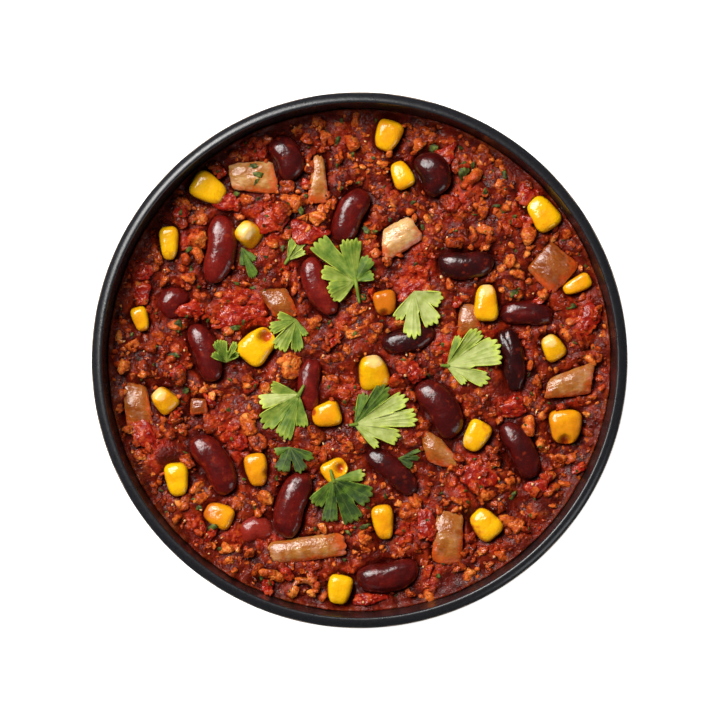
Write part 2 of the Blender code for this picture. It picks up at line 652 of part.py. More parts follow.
def leaf_sheet(name):
    """The leaf as a flat mesh in mm round the end of its stalk: triangles from hub to teeth."""
    mesh = bmesh.new()

    def add(point):
        return mesh.verts.new((LEAVES[name][0] + point.x, LEAVES[name][1] + point.y, 0.0))

    hub = add(Vector((0.0, 0.0)))
    teeth = [[add(point) for point in tooth] for tooth in leaf_teeth(name)]
    direction, reach, spread, _ = LOBES[name][-1]
    end = add(polar(direction + spread, reach * LEAF_CLEFT))
    stalk = [add(point) for point in leaf_stalk(name)]
    for index, (notch, rise, fall, inner) in enumerate(teeth):
        is_last = index == len(teeth) - 1
        next_notch = end if is_last else teeth[index + 1][0]
        mesh.faces.new((inner, notch, rise))
        mesh.faces.new((inner, rise, fall))
        mesh.faces.new((inner, fall, next_notch))
        if not is_last:
            mesh.faces.new((inner, next_notch, teeth[index + 1][3]))
            mesh.faces.new((hub, inner, teeth[index + 1][3]))
    foot = [teeth[-1][3], end, *stalk, teeth[0][0], teeth[0][3]]
    for before, after in zip(foot, foot[1:]):
        mesh.faces.new((hub, before, after))
    return mesh


def leaf(name, collection):
    """A thin wavy leaf of lobes and teeth that lies over what is under it."""
    mesh = leaf_sheet(name)
    lowest = {point: resting_height(point.co.x, point.co.y) for point in mesh.verts}
    for point in mesh.verts:
        point.co.z = max(lowest.values())
    for _ in range(LEAF_RELAXING):
        for point in mesh.verts:
            near = [line.other_vert(point).co.z for line in point.link_edges]
            point.co.z = max(lowest[point], sum(near) / len(near) - LEAF_DROOP)
    for index, point in enumerate(mesh.verts):
        point.co.z += LEAF_WAVE * (0.5 + 0.5 * math.sin(1.7 * index))
        point.co *= MM
    obj = add_object(name, mesh, "leaf", collection, smooth=False)
    thicken(obj, LEAF_THICKNESS / 2, LEAF_THICKNESS / 2)


def main():
    clear_scene()
    dish = new_collection("chili_con_carne")
    fused = new_collection("fused_pieces")
    cutters = new_collection("cutters")
    bowl(dish)
    stew(dish, fused, cutters)
    beans(dish)
    corn(dish)
    onions(dish)
    bpy.context.view_layer.update()
    for name in LEAVES:
        leaf(name, dish)


main()
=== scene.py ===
"""Looks for a bowl of chili con carne: the stoneware, the stew of mince and sauce, and its toppings.

Every length in the tables is in millimetres, as in the part, and MM turns it into metres.
"""
import math

import bmesh
import bpy
import numpy as np
from mathutils import Matrix, Quaternion, Vector, noise
from mathutils.bvhtree import BVHTree


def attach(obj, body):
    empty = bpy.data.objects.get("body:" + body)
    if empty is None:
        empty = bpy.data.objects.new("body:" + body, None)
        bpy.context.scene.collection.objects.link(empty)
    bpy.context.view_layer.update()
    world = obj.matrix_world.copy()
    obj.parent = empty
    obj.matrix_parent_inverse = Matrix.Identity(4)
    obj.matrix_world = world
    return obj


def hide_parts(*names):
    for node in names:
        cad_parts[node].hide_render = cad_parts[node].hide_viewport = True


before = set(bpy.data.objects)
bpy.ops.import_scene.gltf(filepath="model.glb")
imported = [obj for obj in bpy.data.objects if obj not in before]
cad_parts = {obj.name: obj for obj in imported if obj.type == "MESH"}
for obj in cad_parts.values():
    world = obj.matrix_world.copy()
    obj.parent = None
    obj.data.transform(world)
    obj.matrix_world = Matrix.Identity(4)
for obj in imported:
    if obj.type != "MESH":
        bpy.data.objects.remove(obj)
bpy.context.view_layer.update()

MM = 0.001
SEED = 11

# The bowl
BOWL_HEIGHT = 58.0
RIM_RADIUS = 75.0
LIP = 1.6
LIP_LEAN = 1.0
LIP_DROP = 0.9
FOOT_RADIUS = 41.0
FLOOR_RADIUS = 36.0
FLOOR_THICKNESS = 6.0
WALL_CURVE = 0.55
WALL_CROWDING = 1.6
BOWL_TURNS = 240
WALL_STEPS = 40
LIP_STEPS = 16

# The stew
STEW_LEVEL = 46.0
STEW_RADIUS = 70.95
STEW_MARGIN = 1.5
SWELL_HEIGHT = 0.7
SWELL_LENGTHS = (15.0, 19.0)
LUMP_HEIGHT = 0.9
LUMP_LENGTH = 6.0
CORE_CELLS = 290
CORE_GAP = 0.25
CORE_LIFT = 0.8
CORE_BUMPS = ((8.5, 1.6), (4.2, 1.2), (2.1, 0.5))
CORE_SHARES = (0.7, 0.5, 0.3, 0.15, 0.05, 0.0)
MOAT_DEPTH = 0.6
CREEP_HEIGHT = 0.8
CREEP_FROM = 68.6
WALL_POOL = 0.8
WALL_POOL_FROM = 66.5

# Kidney beans: x, y, heading, length, width, rise, redness and wrinkling
BEANS = {
    "bean_01": (-20.6, 57.0, -65, 13.0, 8.6, 0.4, 0.25, 0.1),
    "bean_02": (20.7, 52.8, -65, 12.8, 9.4, 0.6, 0.1, 0.1),
    "bean_03": (-2.5, 40.8, 65, 16.4, 8.6, 0.2, 0.45, 0.3),
    "bean_04": (-39.6, 31.3, -98, 19.2, 8.9, 0.6, 0.6, 0.2),
    "bean_05": (-11.5, 20.9, 114, 17.0, 7.8, 0.8, 0.65, 0.3),
    "bean_06": (30.0, 27.1, 181, 15.7, 8.2, 0.3, 0.1, 0.2),
    "bean_07": (-43.7, 2.2, -70, 16.8, 7.9, 0.2, 0.45, 0.2),
    "bean_08": (14.0, 6.1, 199, 15.4, 7.2, -0.4, 0.1, 0.2),
    "bean_09": (43.1, 0.2, -80, 17.0, 6.8, -0.2, 0.0, 1.0),
    "bean_10": (47.3, 13.1, -3, 15.2, 7.2, -1.2, 0.3, 0.9),
    "bean_11": (-14.0, -6.8, 87, 14.4, 6.8, -0.9, 0.6, 0.6),
    "bean_12": (22.7, -13.5, -58, 18.0, 9.8, 0.4, 0.3, 0.2),
    "bean_13": (45.4, -25.3, -64, 17.4, 7.8, 0.2, 0.3, 0.1),
    "bean_14": (-41.2, -29.2, -58, 18.6, 9.0, 0.2, 0.5, 0.2),
    "bean_15": (9.2, -31.4, -41, 17.6, 7.4, -0.6, 0.2, 0.5),
    "bean_16": (-18.8, -40.7, 72, 19.0, 9.2, 0.6, 0.45, 0.3),
    "bean_17": (8.1, -60.8, 191, 17.4, 8.8, 0.0, 0.35, 0.3),
}
SUNK_BEANS = {
    "sunk_bean_18": (-52.6, 16.2, 60, 9.4, 8.4, -2.1, 0.5, 0.6),
    "sunk_bean_19": (-29.4, -48.0, 10, 10.0, 8.0, -2.2, 1.0, 0.5),
}
BEAN_HEIGHT_SHARE = 0.78
BEAN_CURL = 0.1
BEAN_HOLLOW = 0.15
BEAN_HOLLOW_REACH = 0.35
BEAN_BLUNTNESS = 2.5
BEAN_BREADTH = 2.35
BEAN_FOLDS = 0.28
BEAN_SWELL = 0.25
BEAN_FACETS = (32, 56)

# Corn kernels: x, y, heading from tip to crown, length, width, height, lift of the tip, rise,
# how amber it is, the bearing of a stain on it, and the stain's strength
CORN = {
    "corn_01": (8.1, 63.5, 70, 8.8, 8.0, 6.0, 0, 0.3, 0.45, 190, 0.3),
    "corn_02": (-42.6, 48.4, 149, 10.2, 8.6, 6.4, 0, 0.9, 0.15, 300, 0.6),
    "corn_03": (12.0, 52.3, -66, 8.0, 6.4, 5.4, 0, 0.3, 0.42, 60, 0.6),
    "corn_04": (-53.8, 33.0, 92, 9.6, 5.8, 5.4, 0, 0.7, 0.1, 270, 0.6),
    "corn_05": (-31.4, 35.8, -35, 8.4, 8.0, 6.0, 60, 0.2, 0.3, 200, 0.0),
    "corn_06": (51.8, 41.4, -54, 10.2, 8.4, 6.2, 0, 0.8, 0.25, 300, 0.5),
    "corn_07": (35.8, 16.2, -90, 10.4, 7.4, 6.2, 0, 0.6, 0.35, 240, 0.3),
    "corn_08": (61.6, 21.4, 27, 8.4, 5.0, 4.6, 0, -0.2, 0.6, 90, 0.2),
    "corn_09": (-61.9, 11.7, 105, 7.2, 5.0, 4.8, 0, 0.0, 0.5, 270, 0.7),
    "corn_10": (-28.8, 4.1, 228, 11.0, 9.6, 6.4, 0, 0.7, 0.2, 50, 1.0),
    "corn_11": (7.3, 16.2, 100, 7.2, 7.2, 5.4, 0, -0.4, 1.45, 265, 1.0),
    "corn_12": (3.9, -3.4, -78, 9.6, 9.2, 6.6, 25, 0.8, 0.35, 190, 0.4),
    "corn_13": (54.6, 3.6, -60, 7.2, 6.8, 5.6, 20, 0.2, 0.3, 250, 0.3),
    "corn_14": (-55.2, -11.2, -45, 7.4, 7.0, 6.0, 30, 0.8, 0.5, 200, 0.2),
    "corn_15": (-9.4, -15.4, 15, 8.2, 7.8, 6.0, 0, 0.4, 0.55, 180, 1.0),
    "corn_16": (33.0, -21.4, 60, 9.0, 7.4, 6.0, 0, 0.6, 0.25, 10, 0.7),
    "corn_17": (58.2, -18.8, 90, 9.6, 10.0, 6.0, 0, 0.5, 0.85, 268, 1.0),
    "corn_18": (-51.5, -33.7, 97, 9.4, 7.2, 6.0, 0, 0.7, 0.2, 290, 0.3),
    "corn_19": (-39.8, -43.8, -25, 8.4, 7.4, 5.8, 0, 0.1, 0.9, 160, 0.8),
    "corn_20": (-29.1, -30.9, 98, 9.4, 7.0, 5.8, 0, 0.2, 0.9, 350, 0.9),
    "corn_21": (-6.9, -31.1, 215, 7.6, 7.2, 5.2, 0, -0.4, 0.5, 30, 1.0),
    "corn_22": (6.7, -45.7, 97, 9.8, 6.6, 5.8, 0, 0.4, 0.6, 290, 0.3),
    "corn_23": (35.6, -46.3, -48, 9.2, 8.4, 6.2, 0, 0.6, 0.3, 215, 0.9),
    "corn_24": (-5.6, -64.8, 80, 8.4, 7.6, 6.2, 0, 0.2, 0.1, 200, 0.3),
}
CORN_BOXINESS = 3.3
CORN_TAPER = 0.17
CORN_FULLNESS = 1.07
CORN_SWELL = 0.22
CORN_FACETS = (34, 52)
# Kernels with a pale spot, partly their own pale tip and partly a painted highlight towards the light: its
# bearing, how far it is from the middle, its radius and its strength
PALE_AND_HIGHLIGHT_SPOTS = {
    "corn_05": (140, 0.8, 3.6, 1.0), "corn_12": (85, 3.6, 3.4, 1.0), "corn_13": (120, 2.0, 2.8, 0.9),
    "corn_14": (130, 2.0, 3.0, 0.9), "corn_07": (90, 3.8, 3.0, 0.8), "corn_16": (200, 3.0, 2.6, 0.6),
    "corn_06": (130, 3.6, 2.4, 0.4), "corn_04": (80, 3.6, 2.0, 0.3), "corn_18": (200, 2.6, 2.4, 0.3),
}
# Kernels with a dent: its bearing, how far it is from the middle, its radius and its depth
DENTS = {
    "corn_10": (48, 3.6, 3.4, 2.6), "corn_11": (265, 3.2, 1.9, 1.6), "corn_17": (268, 4.0, 2.4, 2.6),
    "corn_21": (20, 1.6, 2.4, 1.8), "corn_15": (170, 4.0, 2.2, 1.0), "corn_20": (345, 3.4, 2.0, 1.2),
}

# Onion pieces: four corners anticlockwise, sag, rise, how pale they are, how brown
ONIONS = {
    "onion_01": ((-35.8, 48.1), (-22.7, 47.0), (-24.6, 56.2), (-37.0, 55.4), 0.7, 0.7, 0.75, 0.1),
    "onion_03": ((6.4, 27.1), (18.2, 34.4), (14.0, 40.8), (6.7, 36.9), 0.9, 0.8, 0.9, 0.0),
    "onion_04": ((-24.1, 12.0), (-16.8, 12.5), (-20.7, 20.4), (-28.6, 19.8), 0.8, -0.3, 0.25, 0.6),
    "onion_05": ((47.3, 25.7), (54.6, 18.4), (62.4, 26.8), (53.8, 33.8), 1.0, 0.2, 0.2, 0.7),
    "onion_07": ((52.1, -11.0), (65.2, -9.6), (66.4, -0.4), (53.8, -5.1), 0.9, 0.4, 0.6, 0.5),
    "onion_08": ((-65.8, -19.1), (-58.2, -18.8), (-60.2, -7.4), (-66.9, -6.0), 0.8, 0.0, 0.4, 0.5),
    "onion_09": ((19.3, -28.9), (30.8, -31.7), (22.9, -22.0), (16.8, -18.6), 0.9, 0.1, 0.45, 0.3),
    "onion_10": ((20.2, -56.9), (28.8, -58.0), (29.4, -44.0), (22.1, -42.4), 1.0, 0.4, 0.45, 0.3),
    "onion_11": ((-24.1, -57.8), (-3.6, -55.2), (-5.0, -48.5), (-25.8, -51.6), 1.0, 0.4, 0.6, 0.3),
}
SUNK_ONIONS = {
    "sunk_onion_02": ((-14.8, 44.7), (-8.7, 44.4), (-10.1, 57.3), (-12.9, 57.9), 0.4, 0.5, 0.6, 0.3),
    "sunk_onion_06": ((27.4, 6.1), (34.4, 8.0), (33.6, 15.3), (28.6, 16.4), 0.8, -0.3, 0.35, 0.7),
    "sunk_onion_13": ((-47.9, -15.5), (-42.8, -14.9), (-43.4, -11.0), (-47.6, -10.7), 0.3, 0.2, 0.1, 0.9),
}
ONION_THICKNESS = 2.0
ONION_ROUNDING = 0.05
ONION_BOXINESS = 14
ONION_RAGGEDNESS = 0.07
ONION_LIFT = 0.3
ONION_SHOWS = 0.48
ONION_FACETS = (34, 76)

# Coriander leaves: x and y where the stalk joins, the stalk's heading and length
LEAVES = {
    "leaf_01": (-1.1, 22.3, -80, 6.2),
    "leaf_04": (-17.9, 11.4, 60, 0.0),
    "leaf_06": (15.4, 19.4, 95, 0.0),
    "leaf_07": (24.6, -1.6, 176, 1.6),
    "leaf_08": (-17.0, -9.6, 62, 2.8),
    "leaf_09": (-1.4, -18.2, 185, 1.4),
    "leaf_10": (-19.6, -24.6, 120, 0.0),
    "leaf_11": (-7.4, -33.8, 106, 3.0),
    "small_leaf_02": (-20.4, 28.2, 235, 1.2),
    "small_leaf_03": (-33.3, 31.8, 110, 0.0),
    "small_leaf_05": (-37.8, -0.6, 270, 0.0),
    "small_leaf_12": (10.9, -27.8, 175, 0.0),
}
# Lobes, anticlockwise: direction, reach, half of the spread, teeth, and how pale the lobe is
LOBES = {
    "leaf_01": ((20, 5.4, 20, 2, 0.4), (60, 8.0, 19, 3, 0.35), (98, 12.2, 18, 4, 0.5),
                (134, 16.4, 13, 3, 0.45), (164, 10.4, 15, 2, 0.6), (208, 8.4, 28, 4, 0.6)),
    "leaf_04": ((165, 5.6, 15, 2, 0.6), (200, 7.8, 16, 3, 0.6), (238, 10.0, 17, 3, 0.65),
                (273, 9.0, 14, 3, 0.5), (302, 5.4, 12, 2, 0.5)),
    "leaf_06": ((-122, 9.4, 12, 2, 0.85), (-93, 13.2, 14, 3, 0.9), (-58, 11.2, 17, 3, 0.95),
                (-18, 8.4, 19, 3, 0.9)),
    "leaf_07": ((-44, 7.4, 10, 2, 0.85), (-20, 12.6, 13, 3, 0.9), (18, 16.2, 18, 4, 0.9),
                (48, 13.8, 11, 3, 0.7), (68, 9.6, 8, 2, 0.55)),
    "leaf_08": ((165, 8.6, 14, 3, 0.6), (192, 11.8, 13, 2, 0.9), (220, 13.8, 15, 3, 0.5),
                (249, 13.6, 13, 3, 0.45), (275, 9.6, 13, 3, 0.45)),
    "leaf_09": ((-43, 9.2, 9, 2, 0.8), (-17, 13.4, 12, 3, 0.85), (7, 18.0, 10, 3, 0.9),
                (28, 16.8, 10, 3, 0.85), (50, 14.2, 12, 3, 0.25), (74, 9.4, 11, 2, 0.3)),
    "leaf_10": ((198, 4.6, 18, 2, 0.3), (250, 7.4, 22, 3, 0.1), (297, 7.8, 17, 3, 0.05),
                (335, 7.2, 14, 2, 0.15)),
    "leaf_11": ((-128, 8.8, 18, 3, 0.3), (-95, 12.2, 13, 3, 0.15), (-63, 13.6, 15, 3, 0.1),
                (-26, 12.0, 18, 3, 0.15), (10, 9.0, 14, 2, 0.5)),
    "small_leaf_02": ((28, 5.6, 12, 2, 0.7), (50, 7.4, 11, 2, 0.7), (74, 6.8, 12, 2, 0.6)),
    "small_leaf_03": ((-88, 5.2, 10, 2, 0.1), (-66, 9.2, 11, 4, 0.2), (-42, 5.2, 12, 2, 0.2)),
    "small_leaf_05": ((36, 4.6, 14, 2, 0.5), (62, 6.4, 11, 2, 0.5), (106, 6.6, 22, 4, 0.5),
                      (146, 4.6, 16, 2, 0.4)),
    "small_leaf_12": ((-28, 4.8, 16, 2, 0.0), (2, 6.0, 9, 2, 0.0), (22, 6.8, 6, 1, 0.1)),
}
LEAF_THICKNESS = 0.3
LEAF_NOTCH = 0.905
LEAF_CLEFT = 0.5
SHALLOW_CLEFT = 0.16
TOOTH_POWER = 2.2
CLEFT_POWER = 3.0
MORE_TEETH = 1.5
LEAF_RINGS = 14
LEAF_SMOOTHING = 12
LEAF_CLEARANCE = 0.3
STALK_RADIUS = 0.45
STALK_STEPS = 9

# Tomato pieces: x, y, heading, length and width
TOMATO = (
    (-14.6, 35.8, -10, 8.4, 6.0), (-61.9, 19.5, 85, 6.0, 4.2), (-26.3, 39.1, 40, 9.0, 6.0),
    (-34.2, 13.1, 10, 11.0, 6.0), (-37.0, 45.3, 20, 6.0, 4.0), (-61.3, 25.1, 20, 5.6, 5.0),
    (-46.8, 14.5, 15, 7.0, 4.6), (13.4, 19.5, 35, 7.4, 3.6), (24.6, 58.2, 40, 5.4, 4.6),
    (46.5, 47.0, 60, 5.0, 4.2), (63.8, 10.3, 80, 8.0, 5.4), (-59.9, -21.6, -40, 8.4, 6.2),
    (-45.1, -42.6, -50, 9.4, 4.6), (-34.2, -23.3, 50, 5.0, 5.0), (43.7, -13.2, 20, 8.4, 5.4),
    (33.2, -31.6, -20, 9.0, 7.4), (50.7, -35.7, 30, 6.4, 4.4), (15.7, -2.9, -60, 6.0, 4.0),
    (19.0, -44.9, -70, 8.4, 4.6), (3.1, -67.3, 10, 7.0, 3.4),
)
# Herb flakes: x, y, heading and length
FLAKES = (
    (-17.1, 42.5, -50, 4.2), (-6.2, 62.1, 70, 3.6), (-51.5, 9.7, 90, 4.0), (-47.9, 25.9, 20, 2.4),
    (-48.2, 31.3, 40, 2.4), (-35.8, 8.9, 15, 3.4), (-22.1, 32.1, -60, 3.4), (21.0, 60.0, 10, 3.0),
    (35.3, 47.2, 60, 3.4), (38.4, 43.6, 0, 2.6), (28.8, 53.7, -70, 5.4), (40.6, 53.2, -65, 4.2),
    (43.4, 19.0, 50, 3.2), (1.1, 17.8, 10, 2.8), (59.9, 15.3, 20, 3.0), (-49.3, -9.3, 80, 3.4),
    (-52.1, 1.3, 0, 3.0), (-41.4, -47.1, 25, 3.2), (-27.7, -60.3, 80, 4.4), (1.1, -47.1, 20, 3.6),
    (43.4, -38.4, 60, 3.0), (-3.4, -48.5, -40, 2.8), (-35.0, 47.0, 20, 2.6), (2.0, 36.6, -45, 3.6),
    (-30.0, 54.8, 20, 2.6), (-29.0, 52.3, 0, 3.2), (-28.9, 50.5, 60, 2.2), (-35.4, 32.4, 70, 2.2),
)
# Places with bare smooth sauce: x, y and radius
SAUCE_POOLS = ((45.6, 54.6, 4.5), (-54.3, -27.5, 4.0), (25.5, -63.1, 4.5), (51.2, -41.2, 2.6),
               (41.0, -8.0, 3.5))
# Larger orange chunks of mince: x, y and size
CHUNKS = (
    (-55.2, 22.9, 6.5), (-17.4, 64.3, 6.0), (-45.4, 41.1, 6.5), (-13.7, 10.6, 6.0), (-57.7, 29.9, 6.0),
    (-27.2, -39.0, 5.5), (-16.2, -21.1, 3.6), (33.9, -9.0, 3.8), (16.2, -39.6, 4.0), (2.5, -34.2, 4.0),
    (49.3, -37.3, 5.0), (-31.9, -18.3, 6.5), (47.9, 34.9, 6.5), (42.3, 28.5, 5.0), (36.0, 37.0, 5.5),
    (28.8, 41.0, 4.5), (-53.8, -47.2, 5.5), (-9.5, -6.0, 4.0), (55.0, 35.0, 4.0), (14.0, 42.5, 4.5),
)

# An arched strip of onion: its middle, the radius of the arch, and its thickness
STRIP = (-15.7, -64.6, 3.0, 0.85)
STRIP_RISE = 1.2
STRIP_STEPS = 15

# Kinds of mince: faces' fineness, spacing, smallest and largest size, how far it is sunk, and tone
MINCE = {
    "mince_grains": (2, 2.9, 1.0, 1.8, 0.04, 0.38),
    "mince_fine": (3, 3.6, 1.6, 2.8, 0.06, 0.41),
    "mince_medium": (3, 4.8, 2.6, 4.2, 0.06, 0.45),
    "mince_coarse": (3, 6.6, 3.6, 5.6, 0.04, 0.48),
}
CHUNK_SHARE = 0.8
CHUNK_TONE = 0.62
CHUNK_CLEARING = 0.6
TOMATO_SPACING = 9.0
TOMATO_SHARE = 0.2
TOMATO_THICKNESS = 1.15
TOMATO_RISE = 0.9
TOMATO_SIZE = 0.56
FLAKE_SPACING = 7.0
FLAKE_SHARE = 0.85
FLAKE_THICKNESS = 0.14
FLAKE_RISE = 0.05
SPECK_SHARE = 0.5
SPECK_FLATNESS = 0.6
CRUMB_FLATNESS = 0.8
CRUMB_SHAPES = 18
CRUMB_PLANES = 9
MINCE_LENGTH = 11.0
TONE_LENGTH = 15.0
TONE_SWING = 0.3
RASTER_CELL = 0.7
RASTER_HALF = 76.0
# The size of a grain in the mince, the drop from peak to crevice, and the range of most noise
GRAIN_SIZE = 0.95
RELIEF = 2.6
NOISE_RANGE = (0.3, 0.7)

# Camera and light
CAMERA_DISTANCE = 0.8
CAMERA_OFFSET = (0.14, 0.05)
RIM_PIXELS = 269.2
PICTURE_PIXELS = 720.0
SENSOR = 36.0
FLOOR_GLOW = 0.9
WORLD_STRENGTH = 0.08


def colour(red, green, blue):
    """A colour for a shader from its red, green and blue as a screen shows them, 0 to 255."""
    shares = np.array((red, green, blue)) / 255
    return (*np.where(shares > 0.04045, ((shares + 0.055) / 1.055) ** 2.4, shares / 12.92), 1.0)


# Pieces and shapes


def add_piece(name, points, faces, material, slot, node="", **marks):
    """A smooth mesh made from points in mm, which rides on the dish and stands for a node."""
    mesh = bpy.data.meshes.new(name)
    mesh.from_pydata((np.asarray(points) * MM).tolist(), [], faces)
    mesh.shade_smooth()
    for mark, values in marks.items():
        layer = mesh.attributes.new(mark, "FLOAT", "POINT")
        layer.data.foreach_set("value", np.full(len(points), values, dtype=np.float32))
    mesh.materials.append(material)
    mesh.update()
    piece = bpy.data.objects.new(name, mesh)
    bpy.context.scene.collection.objects.link(piece)
    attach(piece, "root")
    nodes = [node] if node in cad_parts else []
    if nodes:
        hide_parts(*nodes)
    return piece


def aim(bearing, distance=1.0):
    """A step in mm along a bearing in degrees."""
    return distance * np.array([math.cos(math.radians(bearing)), math.sin(math.radians(bearing))])


def grid_faces(grid):
    """Faces with four corners between the numbered points of a grid."""
    corners = (grid[:-1, :-1], grid[1:, :-1], grid[1:, 1:], grid[:-1, 1:])
    return np.stack(corners, axis=-1).reshape(-1, 4).tolist()


def turned(profile, segments):
    """Points and faces of a solid turned round Z, from a profile that starts and ends on the axis."""
    radii, heights = np.array(profile[1:-1]).T
    turn = np.arange(segments) * 2 * math.pi / segments
    x = np.outer(radii, np.cos(turn)).ravel()
    y = np.outer(radii, np.sin(turn)).ravel()
    points = np.column_stack([x, y, np.repeat(heights, segments)])
    points = np.vstack([points, [0.0, 0.0, profile[0][1]], [0.0, 0.0, profile[-1][1]]])
    first, last = len(points) - 2, len(points) - 1
    grid = np.arange(first).reshape(len(radii), segments)
    faces = grid_faces(np.column_stack([grid, grid[:, 0]]))
    for near, after in zip(grid[[0, -1]].T, np.roll(grid[[0, -1]], -1, axis=1).T):
        faces += [[first, int(near[0]), int(after[0])], [last, int(after[1]), int(near[1])]]
    return points, faces


def unit_ball(rings, segments):
    """Points of a ball of radius 1 with its poles on X, and its faces."""
    polar = np.linspace(0.0, math.pi, rings + 1)
    points, faces = turned(np.column_stack([np.sin(polar), np.cos(polar)]), segments)
    return points[:, [2, 0, 1]], faces


def boxed(points, power):
    """Points of a ball pushed out towards a box with soft edges."""
    return points / ((abs(points) ** power).sum(axis=1) ** (1 / power))[:, None]


def placed(points, x, y, z, heading, lift=0.0):
    """Points lifted at their tip, turned to their heading and moved to a place."""
    turn = Matrix.Rotation(math.radians(heading), 3, "Z") @ Matrix.Rotation(math.radians(lift), 3, "Y")
    return points @ np.array(turn).T + (x, y, z)


def held(value):
    """A share held between 0 and 1."""
    return np.clip(value, 0, 1)


def noise_at(points, size, seed=0.0):
    """Smooth noise from -1 to 1 at each point, with features of a size in mm."""
    return np.array([noise.noise(Vector(point) / size + Vector((seed, 0.0, 0.0))) for point in points])


def cells_at(points, size, seed=0.0):
    """Distance to the middle of the nearest of many cells of a size in mm, 0 to about 0.8."""
    shift = Vector((seed, 0.0, 0.0))
    return np.array([noise.voronoi(Vector(point) / size + shift)[0][0] for point in points])


def flat(x, y, z=0.0):
    """Points at one height."""
    return np.column_stack([x, y, np.full(len(x), z)])


def bean_points(ball, length, width, wrinkles, seed):
    """Blunt at both ends, hollow on one side, bowed, and a little wrinkled."""
    x, y, z = ball.T
    girth = np.sqrt(np.maximum(1.0 - x**2, 1e-9))
    broad = girth / np.maximum((abs(y) ** BEAN_BREADTH + abs(z) ** BEAN_BREADTH) ** (1 / BEAN_BREADTH), 1e-6)
    y, z = y * broad, z * broad
    fuller = (1.0 - np.minimum(abs(x), 1.0) ** BEAN_BLUNTNESS) ** (1 / BEAN_BLUNTNESS) / girth
    across = y * fuller
    across *= np.where(across < 0.0, 1.0 - BEAN_HOLLOW * np.exp(-((x / BEAN_HOLLOW_REACH) ** 2)), 1.0)
    bow = BEAN_CURL * width * (0.4 - x**2)
    height = width * BEAN_HEIGHT_SHARE
    points = np.column_stack([x * length / 2, across * width / 2 + bow, z * fuller * height / 2])
    folds = noise_at(points * (0.35, 1.0, 1.0), 1.3, seed) * wrinkles * BEAN_FOLDS
    swell = noise_at(points, 5.0, seed) * BEAN_SWELL
    return points * (1.0 + (folds + swell)[:, None] / (width / 2))


def kernel_points(ball, length, width, height):
    """Boxy and rounded, wide at the crown and narrow at the tip."""
    along, across, up = boxed(ball, CORN_BOXINESS).T
    girth = CORN_FULLNESS * (1.0 - CORN_TAPER * (1.0 - along))
    return np.column_stack([along * length, across * width * girth, up * height * (0.3 + 0.7 * girth)]) / 2


def onion_frame(corners):
    """Middle, heading, length and width of an onion piece from its four corners."""
    a, b, c, d = (Vector(corner) for corner in corners)
    along = (b - a + c - d) / 2
    across = (d - a + c - b) / 2
    return (a + b + c + d) / 4, math.degrees(math.atan2(along.y, along.x)), along.length, across.length


def onion_points(ball, corners, sag, seed):
    """A piece of a curved onion layer round its middle: a four-sided slab with soft edges."""
    middle = onion_frame(corners)[0]
    a, b, c, d = (np.array(Vector(corner) - middle) for corner in corners)
    u, v, w = boxed(ball * (1.0, 1.0, 3.0), ONION_BOXINESS).T
    low = np.outer(1 - u, a) + np.outer(1 + u, b)
    high = np.outer(1 - u, d) + np.outer(1 + u, c)
    sheet = (low * (1 - v)[:, None] + high * (1 + v)[:, None]) / 4
    ragged = ONION_RAGGEDNESS * noise_at(np.column_stack([u * 3, v * 3, w * 0.3]), 1.0, seed)
    sheet *= (1.03 - ONION_ROUNDING * u**2 * v**2 + ragged)[:, None]
    swell = 0.3 * noise_at(np.column_stack([sheet, w]), 3.5, seed)
    thin = 1.0 - 0.55 * np.maximum(abs(u), abs(v)) ** 5
    z = sag * (0.4 - v**2) - 0.4 * sag * u**2 + w * ONION_THICKNESS / 2 * thin + swell * (w > 0)
    return np.column_stack([sheet, z]), u, v


def rough_ball(fineness, seed, grain=0.2):
    """An uneven torn chunk of radius about 1, flat in places and granular: its points and triangles."""
    mesh = bmesh.new()
    bmesh.ops.create_icosphere(mesh, subdivisions=fineness, radius=1.0)
    points = np.array([point.co[:] for point in mesh.verts])
    faces = np.array([[point.index for point in face.verts] for face in mesh.faces])
    mesh.free()
    chance = np.random.default_rng(int(seed))
    planes = chance.normal(size=(CRUMB_PLANES, 3))
    planes /= np.linalg.norm(planes, axis=1)[:, None]
    toward = np.maximum(points @ planes.T, 0.05) / chance.uniform(0.55, 1.0, CRUMB_PLANES)
    radius = np.minimum((toward**7).sum(axis=1) ** (-1 / 7), 1.4)
    radius += 0.22 * noise_at(points, 0.9, seed) + grain * (0.4 - cells_at(points, 0.55, seed))
    return points * radius[:, None], faces


def tube(path, radii, sides=8):
    """A closed tube through points in mm, with a radius at each."""
    points = []
    for index, (place, radius) in enumerate(zip(path, radii)):
        ahead = Vector(path[min(index + 1, len(path) - 1)]) - Vector(path[max(index - 1, 0)])
        across = ahead.cross(Vector((0, 0, 1))).normalized()
        up = across.cross(ahead).normalized()
        for angle in np.arange(sides) * 2 * math.pi / sides:
            points.append(Vector(place) + (across * math.cos(angle) + up * math.sin(angle)) * radius)
    grid = np.arange(len(points)).reshape(len(path), sides)
    faces = grid_faces(np.column_stack([grid, grid[:, 0]]).T)
    faces += [grid[0, ::-1].tolist(), grid[-1].tolist()]
    return np.array([point[:] for point in points]), faces


# Materials


